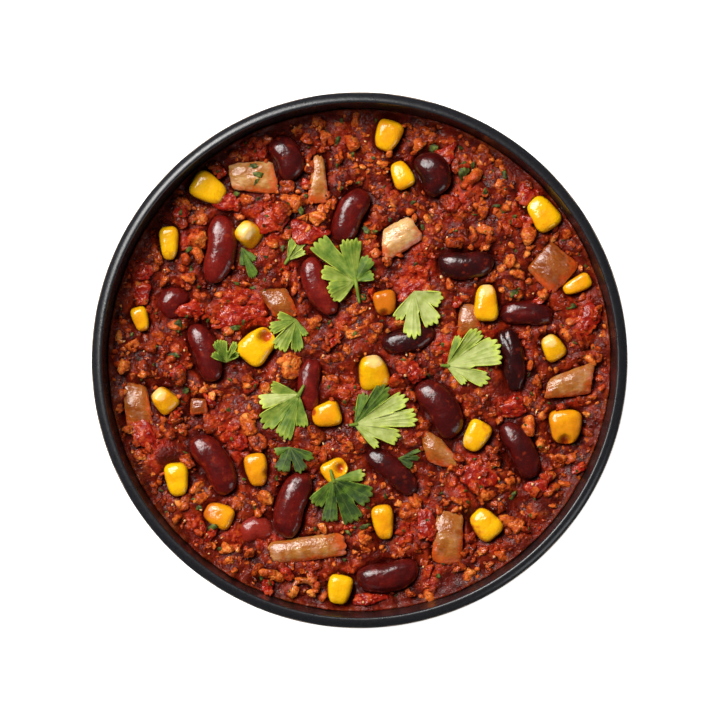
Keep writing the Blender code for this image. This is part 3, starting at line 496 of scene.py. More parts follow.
class Finish:
    """A material, with short ways to add the nodes that colour it."""

    def __init__(self, name, **values):
        self.material = bpy.data.materials.new(name)
        self.material.use_nodes = True
        self.tree = self.material.node_tree
        self.shader = self.tree.nodes["Principled BSDF"]
        self.place = self.node("TexCoord").outputs["Object"]
        self.set(**values)

    def node(self, kind, *values, **settings):
        """A node with its settings made, and its first sockets fed in turn."""
        made = self.tree.nodes.new("ShaderNode" + kind)
        for setting, value in settings.items():
            setattr(made, setting, value)
        for socket, value in zip(made.inputs, values):
            self.feed(socket, value)
        return made

    def feed(self, socket, value):
        """Links another node's output to a socket, or sets the socket."""
        if isinstance(value, bpy.types.NodeSocket):
            self.tree.links.new(value, socket)
        else:
            socket.default_value = value

    def set(self, **values):
        for socket, value in values.items():
            self.feed(self.shader.inputs[socket.replace("_", " ")], value)

    def mark(self, name):
        return self.node("Attribute", attribute_name=name).outputs["Fac"]

    def noise(self, size, detail=3.0, place=None, output="Fac"):
        """Noise with features of a size in mm."""
        made = self.node("TexNoise", place or self.place)
        made.inputs["Scale"].default_value = 1.0 / (size * MM)
        made.inputs["Detail"].default_value = detail
        return made.outputs[output]

    def bent(self, size, reach):
        """Places moved about by up to a reach in mm, by noise of a size in mm."""
        shift = self.noise(size, 1.0, output="Color")
        reaches = [2 * reach * MM] * 3
        return self.node("VectorMath", shift, reaches, self.place, operation="MULTIPLY_ADD").outputs[0]

    def cells(self, size, place, output="Distance"):
        made = self.node("TexVoronoi", place)
        made.inputs["Scale"].default_value = 1.0 / (size * MM)
        return made.outputs[output]

    def add(self, first, second):
        return self.node("Math", first, second, operation="ADD").outputs[0]

    def times(self, first, second):
        return self.node("Math", first, second, operation="MULTIPLY").outputs[0]

    def span(self, value, low, high, to_low=0.0, to_high=1.0):
        """A value stretched from one range to another, and held inside it."""
        return self.node("MapRange", value, low, high, to_low, to_high).outputs[0]

    def varied(self, size, low, high, detail=3.0):
        """A value that wanders between two others, by noise of a size in mm."""
        return self.span(self.noise(size, detail), *NOISE_RANGE, low, high)

    def uneven(self, name, size, swing, detail=3.0):
        """A mark of the mesh made higher and lower by a swing, by noise of a size in mm."""
        return self.add(self.mark(name), self.varied(size, -swing, swing, detail))

    def ramp(self, value, *stops):
        """A colour for each value, from stops of a place and a colour."""
        made = self.node("ValToRGB", value)
        band = made.color_ramp
        while len(band.elements) < len(stops):
            band.elements.new(0.5)
        for element, (place, shade) in zip(band.elements, stops):
            element.position = place
            element.color = colour(*shade)
        return made.outputs["Color"]

    def mix(self, share, first, second, blend="MIX"):
        made = self.node("Mix", share, data_type="RGBA", blend_type=blend)
        self.feed(made.inputs[6], first)
        self.feed(made.inputs[7], second)
        return made.outputs[2]

    def tint(self, shade, share, tone, strength=1.0):
        """A shade that turns to a tone where the share is high."""
        return self.mix(self.times(share, strength), shade, colour(*tone))

    def done(self, shade, rough, *layers):
        """The material with its colour, its roughness, and its relief as heights with depths in mm."""
        self.set(Base_Color=shade, Roughness=rough)
        normal = None
        for height, depth in layers:
            made = self.node("Bump")
            made.inputs["Distance"].default_value = depth * MM
            self.feed(made.inputs["Height"], height)
            if normal:
                self.feed(made.inputs["Normal"], normal)
            normal = made.outputs["Normal"]
        if normal:
            self.set(Normal=normal, Coat_Normal=normal)
        return self.material


def stew_finish(name, mince_from, mince_to, grain_depth, grain_size, wetness):
    """Mince in red sauce. The share of mince grows between two heights above what is round it, and the lowest
    crevices get a painted shade of dark red.
    """
    look = Finish(name, Coat_Roughness=0.07, Subsurface_Weight=0.2, Specular_IOR_Level=0.12,
                  Subsurface_Radius=(0.0016, 0.0004, 0.0002))
    bent = look.bent(1.3, 0.45)
    each_grain = look.node("SeparateColor", look.cells(GRAIN_SIZE, bent, "Color")).outputs[0]
    tone = look.add(look.uneven("tone", 4.5, 0.24, 2.0), look.span(each_grain, 0.0, 1.0, -0.24, 0.24))
    meat = look.ramp(tone, (0.0, (88, 20, 5)), (0.25, (136, 42, 9)), (0.5, (182, 74, 20)),
                     (0.75, (208, 104, 34)), (1.0, (230, 146, 68)))
    sauce = look.ramp(look.noise(3.0, 4.0), (0.32, (50, 8, 3)), (0.5, (98, 18, 5)), (0.68, (148, 44, 12)))
    shade = look.mix(look.span(look.uneven("height", 3.5, 0.2), mince_from, mince_to), sauce, meat)
    pulp = look.ramp(look.noise(1.4), (0.3, (108, 13, 4)), (0.5, (164, 33, 10)), (0.72, (204, 84, 28)))
    shade = look.mix(look.times(look.mark("red"), 0.85), shade, pulp)
    # Painted shade: the lowest crevices turn dark red, standing in for the shade down in them
    shade = look.mix(look.span(look.mark("height"), 0.0, 0.3), colour(72, 12, 4), shade)
    smooth = look.ramp(look.noise(3.0), (0.3, (54, 9, 4)), (0.7, (102, 21, 7)))
    shade = look.mix(look.mark("pool"), shade, smooth)
    look.set(Coat_Weight=look.span(look.noise(1.2, 2.0), 0.48, 0.56, 0.0, wetness))
    grains = look.span(look.cells(GRAIN_SIZE, bent), 0.0, 0.6, 1.0, 0.0)
    rough = look.varied(1.4, 0.26, 0.5)
    return look.done(shade, rough, (grains, grain_depth), (look.noise(grain_size), 0.28))


def tomato_finish():
    look = Finish("tomato", Coat_Roughness=0.1, Subsurface_Weight=0.2, Specular_IOR_Level=0.15,
                  Subsurface_Radius=(0.002, 0.0004, 0.0002))
    shade = look.ramp(look.noise(1.8, 4.0), (0.25, (110, 11, 4)), (0.5, (156, 27, 10)), (0.75, (200, 82, 32)))
    # Painted shade: the lowest parts of the tomato turn a darker red
    shade = look.mix(look.span(look.mark("height"), 0.05, 0.35), colour(96, 12, 4), shade)
    look.set(Coat_Weight=look.span(look.noise(1.3, 2.0), 0.44, 0.58))
    return look.done(shade, look.varied(1.2, 0.18, 0.4), (look.noise(1.3, 4.0), 0.6))


def bean_finish():
    look = Finish("bean_skin", Coat_Weight=0.8, Coat_Roughness=0.15, Coat_IOR=1.5, Specular_IOR_Level=0.1,
                  Subsurface_Weight=0.15, Subsurface_Radius=(0.002, 0.0002, 0.0001))
    shade = look.ramp(look.uneven("tone", 4.0, 0.2, 4.0), (0.0, (42, 7, 7)), (0.35, (78, 10, 7)),
                      (0.65, (108, 17, 10)), (1.0, (142, 38, 26)))
    shade = look.mix(1.0, shade, look.span(look.noise(0.5, 2.0), 0.4, 0.62, 0.86, 1.08), "MULTIPLY")
    shade = look.tint(shade, look.span(look.noise(2.0, 4.0), 0.6, 0.72), (150, 50, 22), 0.5)
    return look.done(shade, look.varied(1.8, 0.26, 0.4), (look.noise(2.4, 2.0), 0.2), (look.noise(0.8), 0.06))


def corn_finish():
    look = Finish("corn_skin", Coat_Weight=0.8, Coat_Roughness=0.1, Specular_IOR_Level=0.15,
                  Subsurface_Weight=0.2, Subsurface_Radius=(0.0025, 0.0014, 0.0003))
    # The amber mark is each kernel's own amber, with painted shade added on its lower sides
    amber = look.add(look.mark("amber"), look.span(look.noise(4.5, 2.0), 0.35, 0.7, -0.2, 0.25))
    shade = look.ramp(amber, (0.1, (244, 182, 4)), (0.5, (236, 156, 6)), (1.0, (202, 108, 12)))
    # Pale spots: partly the kernel's own pale tip, partly a painted highlight
    shade = look.tint(shade, look.span(look.uneven("pale", 1.3, 0.2), 0.42, 0.72), (246, 218, 150), 0.6)
    shade = look.tint(shade, look.span(look.uneven("stain", 1.5, 0.25), 0.35, 0.95), (176, 68, 16))
    shade = look.tint(shade, look.span(look.noise(0.55, 1.0), 0.74, 0.8), (170, 78, 20), 0.5)
    return look.done(shade, look.varied(1.5, 0.22, 0.36), (look.noise(2.2, 2.0), 0.3))


def onion_finish():
    look = Finish("onion_flesh", Coat_Weight=1.0, Coat_Roughness=0.14, Specular_IOR_Level=0.15,
                  Subsurface_Weight=0.45, Subsurface_Radius=(0.004, 0.0016, 0.0005))
    stretched = look.node("CombineXYZ", look.times(look.mark("along"), 0.15 * MM),
                          look.times(look.mark("across"), 0.9 * MM)).outputs[0]
    fibres = look.noise(1.0, 2.0, stretched)
    shade = look.ramp(look.uneven("pale", 4.0, 0.25), (0.05, (122, 52, 6)), (0.4, (162, 90, 24)),
                      (0.7, (184, 122, 54)), (1.0, (228, 186, 124)))
    shade = look.tint(shade, look.span(fibres, 0.35, 0.65, 1.0, 0.0), (150, 68, 16), 0.28)
    shade = look.tint(shade, look.span(look.uneven("brown", 3.0, 0.3), 0.2, 1.2), (140, 62, 22), 0.6)
    shade = look.tint(shade, look.span(look.uneven("edge", 1.6, 0.25), 0.35, 0.9), (204, 76, 20), 0.8)
    # Whitish patches: partly the onion's own pale skin, partly a painted sheen of wet highlights
    pale_skin_and_sheen = look.times(look.span(look.noise(2.2), 0.5, 0.75), look.mark("pale"))
    shade = look.tint(shade, pale_skin_and_sheen, (238, 204, 172), 0.4)
    return look.done(shade, look.varied(1.0, 0.2, 0.4), (fibres, 0.25), (look.noise(0.9), 0.2))


def leaf_finish():
    look = Finish("leaf_green", Specular_IOR_Level=0.2, Subsurface_Weight=0.1,
                  Subsurface_Radius=(0.0006, 0.001, 0.0002))
    pale = look.add(look.mark("pale"), look.varied(2.4, -0.28, 0.14, 4.0))
    shade = look.ramp(pale, (0.0, (40, 62, 20)), (0.3, (88, 116, 34)), (0.6, (136, 150, 58)),
                      (0.95, (180, 187, 114)))
    shade = look.tint(shade, look.span(look.mark("vein"), 0.3, 0.95), (160, 172, 84), 0.22)
    # Painted highlight: a brighter yellow-green band along each leaf's edge
    margin_highlight = look.times(look.mark("margin_highlight"), look.span(look.mark("pale"), 0.2, 0.9, 0.1, 0.75))
    shade = look.tint(shade, margin_highlight, (204, 220, 78))
    return look.done(shade, look.varied(1.6, 0.42, 0.6), (look.mark("vein"), 0.02), (look.noise(0.7), 0.08))


def plain_finish(name, size, rough, *stops, **values):
    """One ramp of colours over noise of a size in mm, for the smallest things."""
    look = Finish(name, **values)
    return look.done(look.ramp(look.noise(size), *stops), look.varied(*rough))


def stoneware_finish():
    look = Finish("stoneware", Specular_IOR_Level=0.6)
    across, away, height = look.node("SeparateXYZ", look.place).outputs
    level = look.node("CombineXYZ", across, away).outputs[0]
    radius = look.node("VectorMath", level, operation="LENGTH").outputs["Value"]
    shade = look.ramp(look.noise(0.5, 4.0), (0.3, (20, 20, 24)), (0.6, (29, 29, 33)), (0.8, (40, 40, 45)))
    # A pale tan line along the outer edge, partly bare clay and partly a painted reflection of the bright
    # surroundings, and a film of sauce on the inside
    outer = look.span(look.add(radius, look.varied(9.0, -0.15 * MM, 0.15 * MM)), 74.6 * MM, 74.8 * MM)
    upper = look.span(height, 54.8 * MM, 55.1 * MM)
    shade = look.tint(shade, look.times(outer, upper), (172, 152, 134))
    ragged = look.add(height, look.varied(6.0, -3.0 * MM, 3.0 * MM, 4.0))
    film = look.times(look.mark("inside"), look.span(ragged, 49.0 * MM, 54.0 * MM, 1.0, 0.0))
    shade = look.tint(shade, film, (26, 16, 11), 0.8)
    return look.done(shade, look.varied(1.5, 0.26, 0.34), (look.noise(0.6), 0.03))


# The bowl


def wall_radius(foot, top, share):
    """The radius of a bowl's wall at a share of its height: a wide curve out of the foot, then upright."""
    return foot + (top - foot) * (1.0 - (1.0 - share) ** 2) ** WALL_CURVE


def inside_radius(height):
    """The radius of the bowl's inner wall at a height."""
    share = (height - FLOOR_THICKNESS) / (BOWL_HEIGHT - LIP - FLOOR_THICKNESS)
    return wall_radius(FLOOR_RADIUS, RIM_RADIUS - 2 * LIP, min(max(share, 0.0), 1.0))


def bowl():
    lip_height = BOWL_HEIGHT - LIP
    shares = np.linspace(0.0, 1.0, WALL_STEPS) ** WALL_CROWDING
    profile = [(0.0, FLOOR_THICKNESS)]
    for share in shares:
        height = FLOOR_THICKNESS + share * (lip_height - FLOOR_THICKNESS)
        profile.append((wall_radius(FLOOR_RADIUS, RIM_RADIUS - 2 * LIP, share), height))
    for step in range(1, LIP_STEPS):
        angle = math.pi * (1.0 - step / LIP_STEPS)
        across = math.cos(angle)
        radius = RIM_RADIUS - LIP + LIP * across - LIP_LEAN * (1.0 - across**2)
        steep = 1.0 + LIP_DROP * max(across, 0.0) ** 2
        profile.append((radius, lip_height + LIP * (1.0 - steep * (1.0 - math.sin(angle)))))
    for share in shares[::-1]:
        if share * lip_height < profile[-1][1] - 0.2 or share == 0.0:
            profile.append((wall_radius(FOOT_RADIUS, RIM_RADIUS, share), share * lip_height))
    profile.append((0.0, 0.0))
    points, faces = turned(profile, BOWL_TURNS)
    inside = np.repeat(np.arange(len(profile) - 2) < WALL_STEPS, BOWL_TURNS)
    add_piece("stoneware_bowl", points, faces, stoneware_finish(), "stoneware", "bowl",
              inside=np.append(inside, [1, 0]))


# Heights on the stew, kept on a square raster


class Raster:
    """The highest point, or the lowest, in each small square of the stew."""

    def __init__(self, start):
        self.cells = int(2 * RASTER_HALF / RASTER_CELL)
        self.values = np.full((self.cells, self.cells), start)

    def index(self, *places):
        """The squares that places along X and Y are in."""
        return tuple(np.clip(((np.asarray(place) + RASTER_HALF) / RASTER_CELL).astype(int), 0, self.cells - 1)
                     for place in places)

    def take(self, points, pick=np.maximum):
        """Each square keeps the highest, or the lowest, of what it has and the points over it."""
        pick.at(self.values, self.index(points[:, 0], points[:, 1]), points[:, 2])

    def at(self, x, y):
        return self.values[self.index(x, y)]

    def spread_low(self, steps):
        """Each square takes the lowest of its neighbours, a number of times."""
        for _ in range(steps):
            for axis in (0, 1):
                self.values = np.min([np.roll(self.values, step, axis) for step in (-1, 0, 1)], axis=0)

    def blurred(self, steps):
        soft = Raster(0.0)
        soft.values = self.values
        for _ in range(steps):
            for axis in (0, 1):
                before, after = (np.roll(soft.values, step, axis) for step in (1, -1))
                soft.values = (soft.values * 2 + before + after) / 4
        return soft


def surface_heights(x, y):
    """Heights of the stew's bare top in mm, as in the part."""
    swell = np.sin(x / SWELL_LENGTHS[0] + 0.8) * np.cos(y / SWELL_LENGTHS[1] + 0.4)
    lumps = noise_at(flat(x, y, 3.0 * LUMP_LENGTH), LUMP_LENGTH)
    return STEW_LEVEL + SWELL_HEIGHT * swell + LUMP_HEIGHT * lumps


def footprints():
    """The toppings as rounded shapes on the stew: x, y, heading, half length, half width, boxiness."""
    rows = [*BEANS.values(), *SUNK_BEANS.values(), *CORN.values()]
    found = [(x, y, heading, length / 2, width / 2, 2.4) for x, y, heading, length, width, *_ in rows]
    for *corners, _, _, _, _ in [*ONIONS.values(), *SUNK_ONIONS.values()]:
        middle, heading, length, width = onion_frame(corners)
        found.append((*middle, heading, length * ONION_SHOWS, width * ONION_SHOWS, 5.0))
    return found


def gap_to_toppings(x, y):
    """How far each place is outside the nearest topping in mm, negative inside it."""
    gap = np.full(len(x), 99.0)
    for cx, cy, heading, half_length, half_width, power in footprints():
        ahead, left = aim(heading), aim(heading + 90)
        along = abs((x - cx) * ahead[0] + (y - cy) * ahead[1]) / half_length
        across = abs((x - cx) * left[0] + (y - cy) * left[1]) / half_width
        gap = np.minimum(gap, ((along**power + across**power) ** (1 / power) - 1.0) * half_width)
    return gap


def gap_to_rounds(x, y, rounds):
    """How far each place is outside the nearest of some rounds of x, y and radius."""
    return np.min([np.hypot(x - cx, y - cy) - radius for cx, cy, radius in rounds], axis=0)


def gap_to_tomato(x, y):
    """How far each place is outside the nearest piece of tomato in mm."""
    return gap_to_rounds(x, y, [(cx, cy, length * 0.4) for cx, cy, _, length, _ in TOMATO])


def redness(points):
    """How red the sauce is at each point: most beside the tomato."""
    x, y = points[:, 0], points[:, 1]
    beside = np.exp(-((np.maximum(gap_to_tomato(x, y), 0.0) / 3.0) ** 2))
    return held(1.1 * beside + 2.2 * (noise_at(flat(x, y), 11.0, 3.0) - 0.1))


def core(raster):
    """The sauce: one solid inside the bowl, with the mince's finer relief on top."""
    steps = np.linspace(-1.0, 1.0, CORE_CELLS + 1)
    u, v = (side.ravel() for side in np.meshgrid(steps, steps, indexing="ij"))
    # A square turned into a disc, ring by ring
    wide = abs(u) > abs(v)
    reach = np.where(wide, u, v)
    ratio = np.where(wide, v, u) / np.where(reach == 0.0, 1.0, reach)
    angle = np.where(wide, ratio * math.pi / 4, math.pi / 2 - ratio * math.pi / 4)
    x, y = reach * np.cos(angle) * STEW_RADIUS, reach * np.sin(angle) * STEW_RADIUS
    gap = gap_to_toppings(x, y)
    z = surface_heights(x, y) + CORE_LIFT * np.clip(gap / 2.5, -0.4, 1.0)
    rough = np.clip(gap_to_rounds(x, y, SAUCE_POOLS) / 2.0, 0.1, 1.0)
    for size, depth in CORE_BUMPS:
        z += rough * depth * (0.4 - cells_at(flat(x, y), size, size))
    z -= MOAT_DEPTH * held(1.0 - abs(gap + 0.6) / 1.6)
    z += CREEP_HEIGHT * held((np.hypot(x, y) - CREEP_FROM) / 2.0) ** 2
    points = [np.column_stack([x, y, z])]
    raster.take(points[0])
    grid = np.arange(len(x)).reshape(len(steps), len(steps))
    faces = grid_faces(grid)
    before = np.concatenate([grid[:-1, 0], grid[-1, :-1], grid[:0:-1, -1], grid[0, :0:-1]])
    bearing = np.arctan2(y[before], x[before])
    count, total = len(before), len(x)
    for share in CORE_SHARES:
        height = FLOOR_THICKNESS + CORE_GAP + share * (BOWL_HEIGHT - LIP - FLOOR_THICKNESS)
        radius = inside_radius(height) - CORE_GAP
        points.append(flat(radius * np.cos(bearing), radius * np.sin(bearing), height))
        ring = total + np.arange(count)
        total += count
        faces += np.stack([before, ring, np.roll(ring, -1), np.roll(before, -1)], axis=-1).tolist()
        before = ring
    faces.append(before[::-1].tolist())
    return np.vstack(points), faces


# The toppings


def beans(raster, finish):
    ball, faces = unit_ball(*BEAN_FACETS)
    for number, (name, row) in enumerate({**BEANS, **SUNK_BEANS}.items()):
        x, y, heading, length, width, rise, red, wrinkles = row
        shape = bean_points(ball, length, width, wrinkles, number * 9.0)
        points = placed(shape, x, y, STEW_LEVEL + rise, heading)
        raster.take(points)
        add_piece("kidney_" + name, points, faces, finish, "bean", name, tone=red)


def corn(raster, finish):
    ball, faces = unit_ball(*CORN_FACETS)
    for number, (name, row) in enumerate(CORN.items()):
        x, y, heading, length, width, height, lift, rise, amber, stain_bearing, stain = row
        level = STEW_LEVEL + rise
        points = placed(kernel_points(ball, length, width, height), x, y, level, heading, lift)
        points += placed(ball, 0, 0, 0, heading, lift) * (CORN_SWELL * noise_at(points, 3.4, number))[:, None]

        def closeness(bearing, away, radius):
            """1 at a spot on top of the kernel, and 0 at its radius and beyond."""
            return 1.0 - np.hypot(*(points[:, :2] - ((x, y) + aim(bearing, away))).T) / radius

        toward = (points[:, :2] - (x, y)) @ aim(stain_bearing) / (max(length, width) / 2)
        stained = stain * held(toward)
        if name in DENTS:
            *spot, depth = DENTS[name]
            inside = held(closeness(*spot))
            smooth = inside**2 * (3 - 2 * inside)
            points[:, 2] -= depth * smooth * (points[:, 2] > level)
            stained = np.maximum(stained * 0.4, smooth * 1.3)
        # The pale spot is partly the kernel's own pale tip and partly a painted highlight
        *spot, strength = PALE_AND_HIGHLIGHT_SPOTS.get(name, (0, 0.0, 1.0, 0.0))
        pale = strength * held(1.6 * closeness(*spot)) * (points[:, 2] > level)
        raster.take(points)
        # Painted shade: the lower part of each kernel is made more amber, as its shaded side looks; the
        # table's amber is the kernel's own colour
        low = held((level + 1.2 - points[:, 2]) / 2.4)
        add_piece("kernel_" + name, points, faces, finish, "corn", name,
                  amber=0.8 * amber + 0.4 * low, pale=pale, stain=stained)


def onions(raster, finish):
    ball, faces = unit_ball(*ONION_FACETS)
    for number, (name, (*corners, sag, rise, pale, brown)) in enumerate({**ONIONS, **SUNK_ONIONS}.items()):
        middle, _, length, width = onion_frame(corners)
        shape, u, v = onion_points(ball, corners, sag, number * 5.0)
        points = shape + (*middle, STEW_LEVEL + rise + ONION_LIFT)
        raster.take(points)
        # The sides that face the foot of the picture and its right are stained orange
        out = shape[:, 0] * 0.45 - shape[:, 1] * 0.9
        edge = held((np.maximum(abs(u), abs(v)) - 0.4) / 0.5)
        edge *= np.clip(0.7 + 1.4 * out / width, 0.3, 1.0)
        add_piece("piece_" + name, points, faces, finish, "onion", name, along=u * length / 2,
                  across=v * width / 2, pale=pale, brown=brown, edge=edge)
    x, y, arch, thickness = STRIP
    path = [(x + arch * math.cos(turn), y + arch * math.sin(turn) * 0.8, STEW_LEVEL + STRIP_RISE)
            for turn in np.radians(np.linspace(-30, 200, STRIP_STEPS))]
    radii = thickness * (0.6 + 0.4 * np.sin(np.linspace(0.0, math.pi, STRIP_STEPS)))
    points, faces = tube(path, radii, 14)
    raster.take(points)
    add_piece("onion_strip", points, faces, finish, "onion", along=points[:, 0], across=points[:, 1],
              pale=0.3, brown=0.5, edge=0.5)


def leaf_outline(name):
    """For each step along a leaf's edge: bearing, reach, lobe's direction, spread and paleness."""
    steps = []
    for number, (direction, reach, spread, teeth, pale) in enumerate(LOBES[name]):
        teeth = round(teeth * MORE_TEETH)
        half = spread / teeth
        shallow = reach * LEAF_NOTCH
        left, right = (reach * (LEAF_CLEFT + SHALLOW_CLEFT * (side % 2)) for side in (number, number + 1))
        for index in range(teeth):
            middle = direction - spread + (2 * index + 1) * half
            tip = reach * (1 - 0.1 * ((middle - direction) / spread) ** 2 + 0.03 * math.sin(middle * 7.0))
            before = shallow if index else left
            after = shallow if index < teeth - 1 else right
            samples = max(int(half * 2 / 0.9), 10)
            for step in range(samples + (index == teeth - 1)):
                share = 2 * step / samples - 1
                notch = before if share < 0 else after
                power = CLEFT_POWER if notch < shallow else TOOTH_POWER
                edge = notch + (tip - notch) * (1 - abs(share) ** power)
                steps.append((middle + share * half, edge, direction, spread, pale))
    return np.array(steps)


def vein_strength(name, points):
    """How near each point is to a vein, 1 on it, and fading beside it. Points are from the stalk's end."""
    strength = np.zeros(len(points))
    for direction, reach, spread, teeth, _ in LOBES[name]:
        veins = [(np.zeros(2), aim(direction, reach * 0.93), 0.15)]
        for index in range(teeth):
            tip = aim(direction - spread + (2 * index + 1) * spread / teeth, reach * 0.86)
            veins.append((aim(direction, reach * 0.4), tip, 0.05))
        for start, end, width in veins:
            way = end - start
            share = held((points - start) @ way / (way @ way))
            away = np.hypot(*(points - start - share[:, None] * way).T)
            strength = np.maximum(strength, (1.0 - 0.45 * share) * np.exp(-((away / (width * 1.4)) ** 2)))
    return strength


def node_heights(name, points, raster):
    """The height of a leaf's own solid at each place, or of what is below where it has none."""
    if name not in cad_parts:
        return raster.blurred(3).at(points[:, 0], points[:, 1]) + 0.6
    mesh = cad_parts[name].data
    tree = BVHTree.FromPolygons([v.co for v in mesh.vertices], [p.vertices for p in mesh.polygons])
    found = []
    for x, y in points * MM:
        hit = tree.ray_cast(Vector((x, y, 0.1)), Vector((0, 0, -1)))[0]
        if hit is None:
            hit = tree.find_nearest(Vector((x, y, 0.048)))[0]
        found.append(hit.z / MM)
    return np.array(found)


def leaf(name, raster, ceiling, finish):
    """A thin wavy leaf of lobes and teeth, with veins, that lies over what is under it."""
    hub_x, hub_y, heading, stalk = LEAVES[name]
    bearing, reach, direction, spread, paleness = leaf_outline(name).T
    rings = np.linspace(0.0, 1.0, LEAF_RINGS + 1) ** 0.85
    shape = (len(rings), len(bearing))
    outline = np.column_stack([reach * np.cos(np.radians(bearing)), reach * np.sin(np.radians(bearing))])
    points = (rings[:, None, None] * outline).reshape(-1, 2)
    where = points + (hub_x, hub_y)
    lowest = np.maximum(raster.at(*where.T) + LEAF_CLEARANCE, 0.0)
    z = np.maximum(node_heights(name, where, raster) - LEAF_CLEARANCE, lowest)
    for _ in range(LEAF_SMOOTHING):
        wide = np.pad(z.reshape(shape), ((1, 1), (12, 12)), mode="edge")
        grid = (wide[:-2, 12:-12] + wide[2:, 12:-12]) / 4
        grid += (wide[1:-1, :-24] + wide[1:-1, 24:] + wide[1:-1, 7:-17] + wide[1:-1, 17:-7]) / 8
        grid[0] = grid[0].mean()
        z = np.maximum(grid.ravel(), lowest - 0.3)
    # Each lobe is folded a little along its middle vein, and its edge is wavy
    fold, ripple = abs(bearing - direction) / spread, np.sin(bearing * 0.13 + len(name))
    wave = 0.1 * fold**1.5 + 0.45 * (1 + ripple)
    z = z + np.outer(rings**1.6, wave).ravel() * reach.mean() / 10
    share = np.repeat(rings, shape[1])
    smooth = (paleness + np.roll(paleness, 3) + np.roll(paleness, -3)) / 3
    # The margin mark paints a highlight along the leaf's edge
    marks = {"pale": np.tile(smooth, shape[0]) + 0.25 * held(0.25 - share),
             "vein": vein_strength(name, points), "margin_highlight": np.clip(share - 0.86, 0.0, 0.14) / 0.14}
    faces = grid_faces(np.arange(len(z)).reshape(shape))
    solid = np.column_stack([where, z])
    ceiling.take(solid, np.minimum)
    if stalk:
        path = [(*((hub_x, hub_y) + aim(heading, along)), z[0] + 0.1 + 0.35 * math.sin(along))
                for along in np.linspace(-0.8, stalk, STALK_STEPS)]
        stem, stem_faces = tube(path, np.linspace(1.0, 0.5, STALK_STEPS) * STALK_RADIUS)
        faces += [[len(solid) + corner for corner in face] for face in stem_faces]
        solid = np.vstack([solid, stem])
        marks = {mark: np.append(values, np.full(len(stem), 0.4)) for mark, values in marks.items()}
    piece = add_piece("coriander_" + name, solid, faces, finish, "leaf", name, **marks)
    solidify = piece.modifiers.new("Thickness", "SOLIDIFY")
    solidify.thickness = LEAF_THICKNESS * MM
    solidify.offset = 0.0


# Mince, tomato, herbs and spice


def jittered_sites(spacing, chance):
    """Places over the stew, about a spacing apart."""
    count = int(STEW_RADIUS / spacing) + 2
    rows, columns = np.meshgrid(np.arange(-count, count + 1), np.arange(-count, count + 1), indexing="ij")
    x = spacing * (columns + 0.5 * (rows % 2)).ravel()
    y = spacing * 0.87 * rows.ravel()
    x = x + chance.uniform(-0.42, 0.42, len(x)) * spacing
    y = y + chance.uniform(-0.42, 0.42, len(y)) * spacing
    return x, y


def open_sites(spacing, share, chance):
    """A share of such places, those that are beside the toppings and away from the bowl."""
    x, y = jittered_sites(spacing, chance)
    keep = (np.hypot(x, y) < STEW_RADIUS - STEW_MARGIN) & (chance.random(len(x)) < share)
    keep &= gap_to_toppings(x, y) > 0.5
    return x[keep], y[keep]


def joined(parts, triangles):
    """Many pieces as the points and faces of one mesh."""
    starts = np.cumsum([0] + [len(part) for part in parts[:-1]])
    faces = np.vstack([own + start for own, start in zip(triangles, starts)])
    return np.vstack(parts), faces.tolist()


def heap(shapes, sites, sizes, chance, flatness):
    """Many pieces of some shapes, each turned and stretched by chance."""
    turns = [Quaternion(row).normalized().to_matrix() for row in chance.normal(size=(4, len(sites))).T]
    picks = chance.integers(0, len(shapes), len(sites))
    stretch = chance.uniform(0.7, 1.3, (len(sites), 1, 3))
    moved = np.array([shapes[pick][0] for pick in picks]) * stretch
    moved = np.einsum("nij,nkj->nki", np.array(turns), moved) * (1.0, 1.0, flatness)
    moved = moved * (sizes / 2)[:, None, None] + sites[:, None, :]
    return joined(moved, [shapes[pick][1] for pick in picks])


def mince(raster, ceiling, chance):
    """Every kind of mince in turn, each laid on what is there already. Returns the joined heaps."""
    made = {}
    for name, (fineness, spacing, smallest, largest, sunk, tone) in MINCE.items():
        shapes = [rough_ball(fineness, 3.0 + 17.0 * index, 0.3) for index in range(CRUMB_SHAPES)]
        x, y = jittered_sites(spacing, chance)
        sizes = smallest + (largest - smallest) * chance.random(len(x)) ** 1.5
        spots = flat(x, y)
        tones = tone + TONE_SWING * noise_at(spots, TONE_LENGTH, 5.0) + chance.normal(0.0, 0.15, len(x))
        thick = np.clip(1.1 + 1.2 * noise_at(spots, MINCE_LENGTH, 8.0), 0.45, 1.0) > chance.random(len(x))
        rows = np.column_stack([x, y, sizes, tones])
        if name == "mince_coarse":
            thick &= gap_to_rounds(x, y, [(cx, cy, size * CHUNK_CLEARING) for cx, cy, size in CHUNKS]) > 1.0
            rows = np.vstack([rows, [(cx, cy, size * CHUNK_SHARE, CHUNK_TONE) for cx, cy, size in CHUNKS]])
            thick = np.append(thick, [True] * len(CHUNKS))
        rows = rows[thick]
        x, y, sizes, _ = rows.T
        keep = (gap_to_toppings(x, y) > sizes * 0.25) & (np.hypot(x, y) < STEW_RADIUS - sizes * 0.5)
        keep &= gap_to_rounds(x, y, SAUCE_POOLS) > sizes * 0.2
        keep &= (gap_to_tomato(x, y) > 0.0) | (chance.random(len(x)) < 0.2)
        x, y, sizes, tones = rows[keep].T
        z = raster.at(x, y) - sizes * (sunk + chance.uniform(0.0, 0.25, len(x)))
        z = np.minimum(z, ceiling.at(x, y) - sizes * 0.5 - 0.35)
        points, faces = heap(shapes, np.column_stack([x, y, z]), sizes, chance, CRUMB_FLATNESS)
        raster.take(points)
        made[name] = (points, faces, np.repeat(tones, len(shapes[0][0])))
    return made


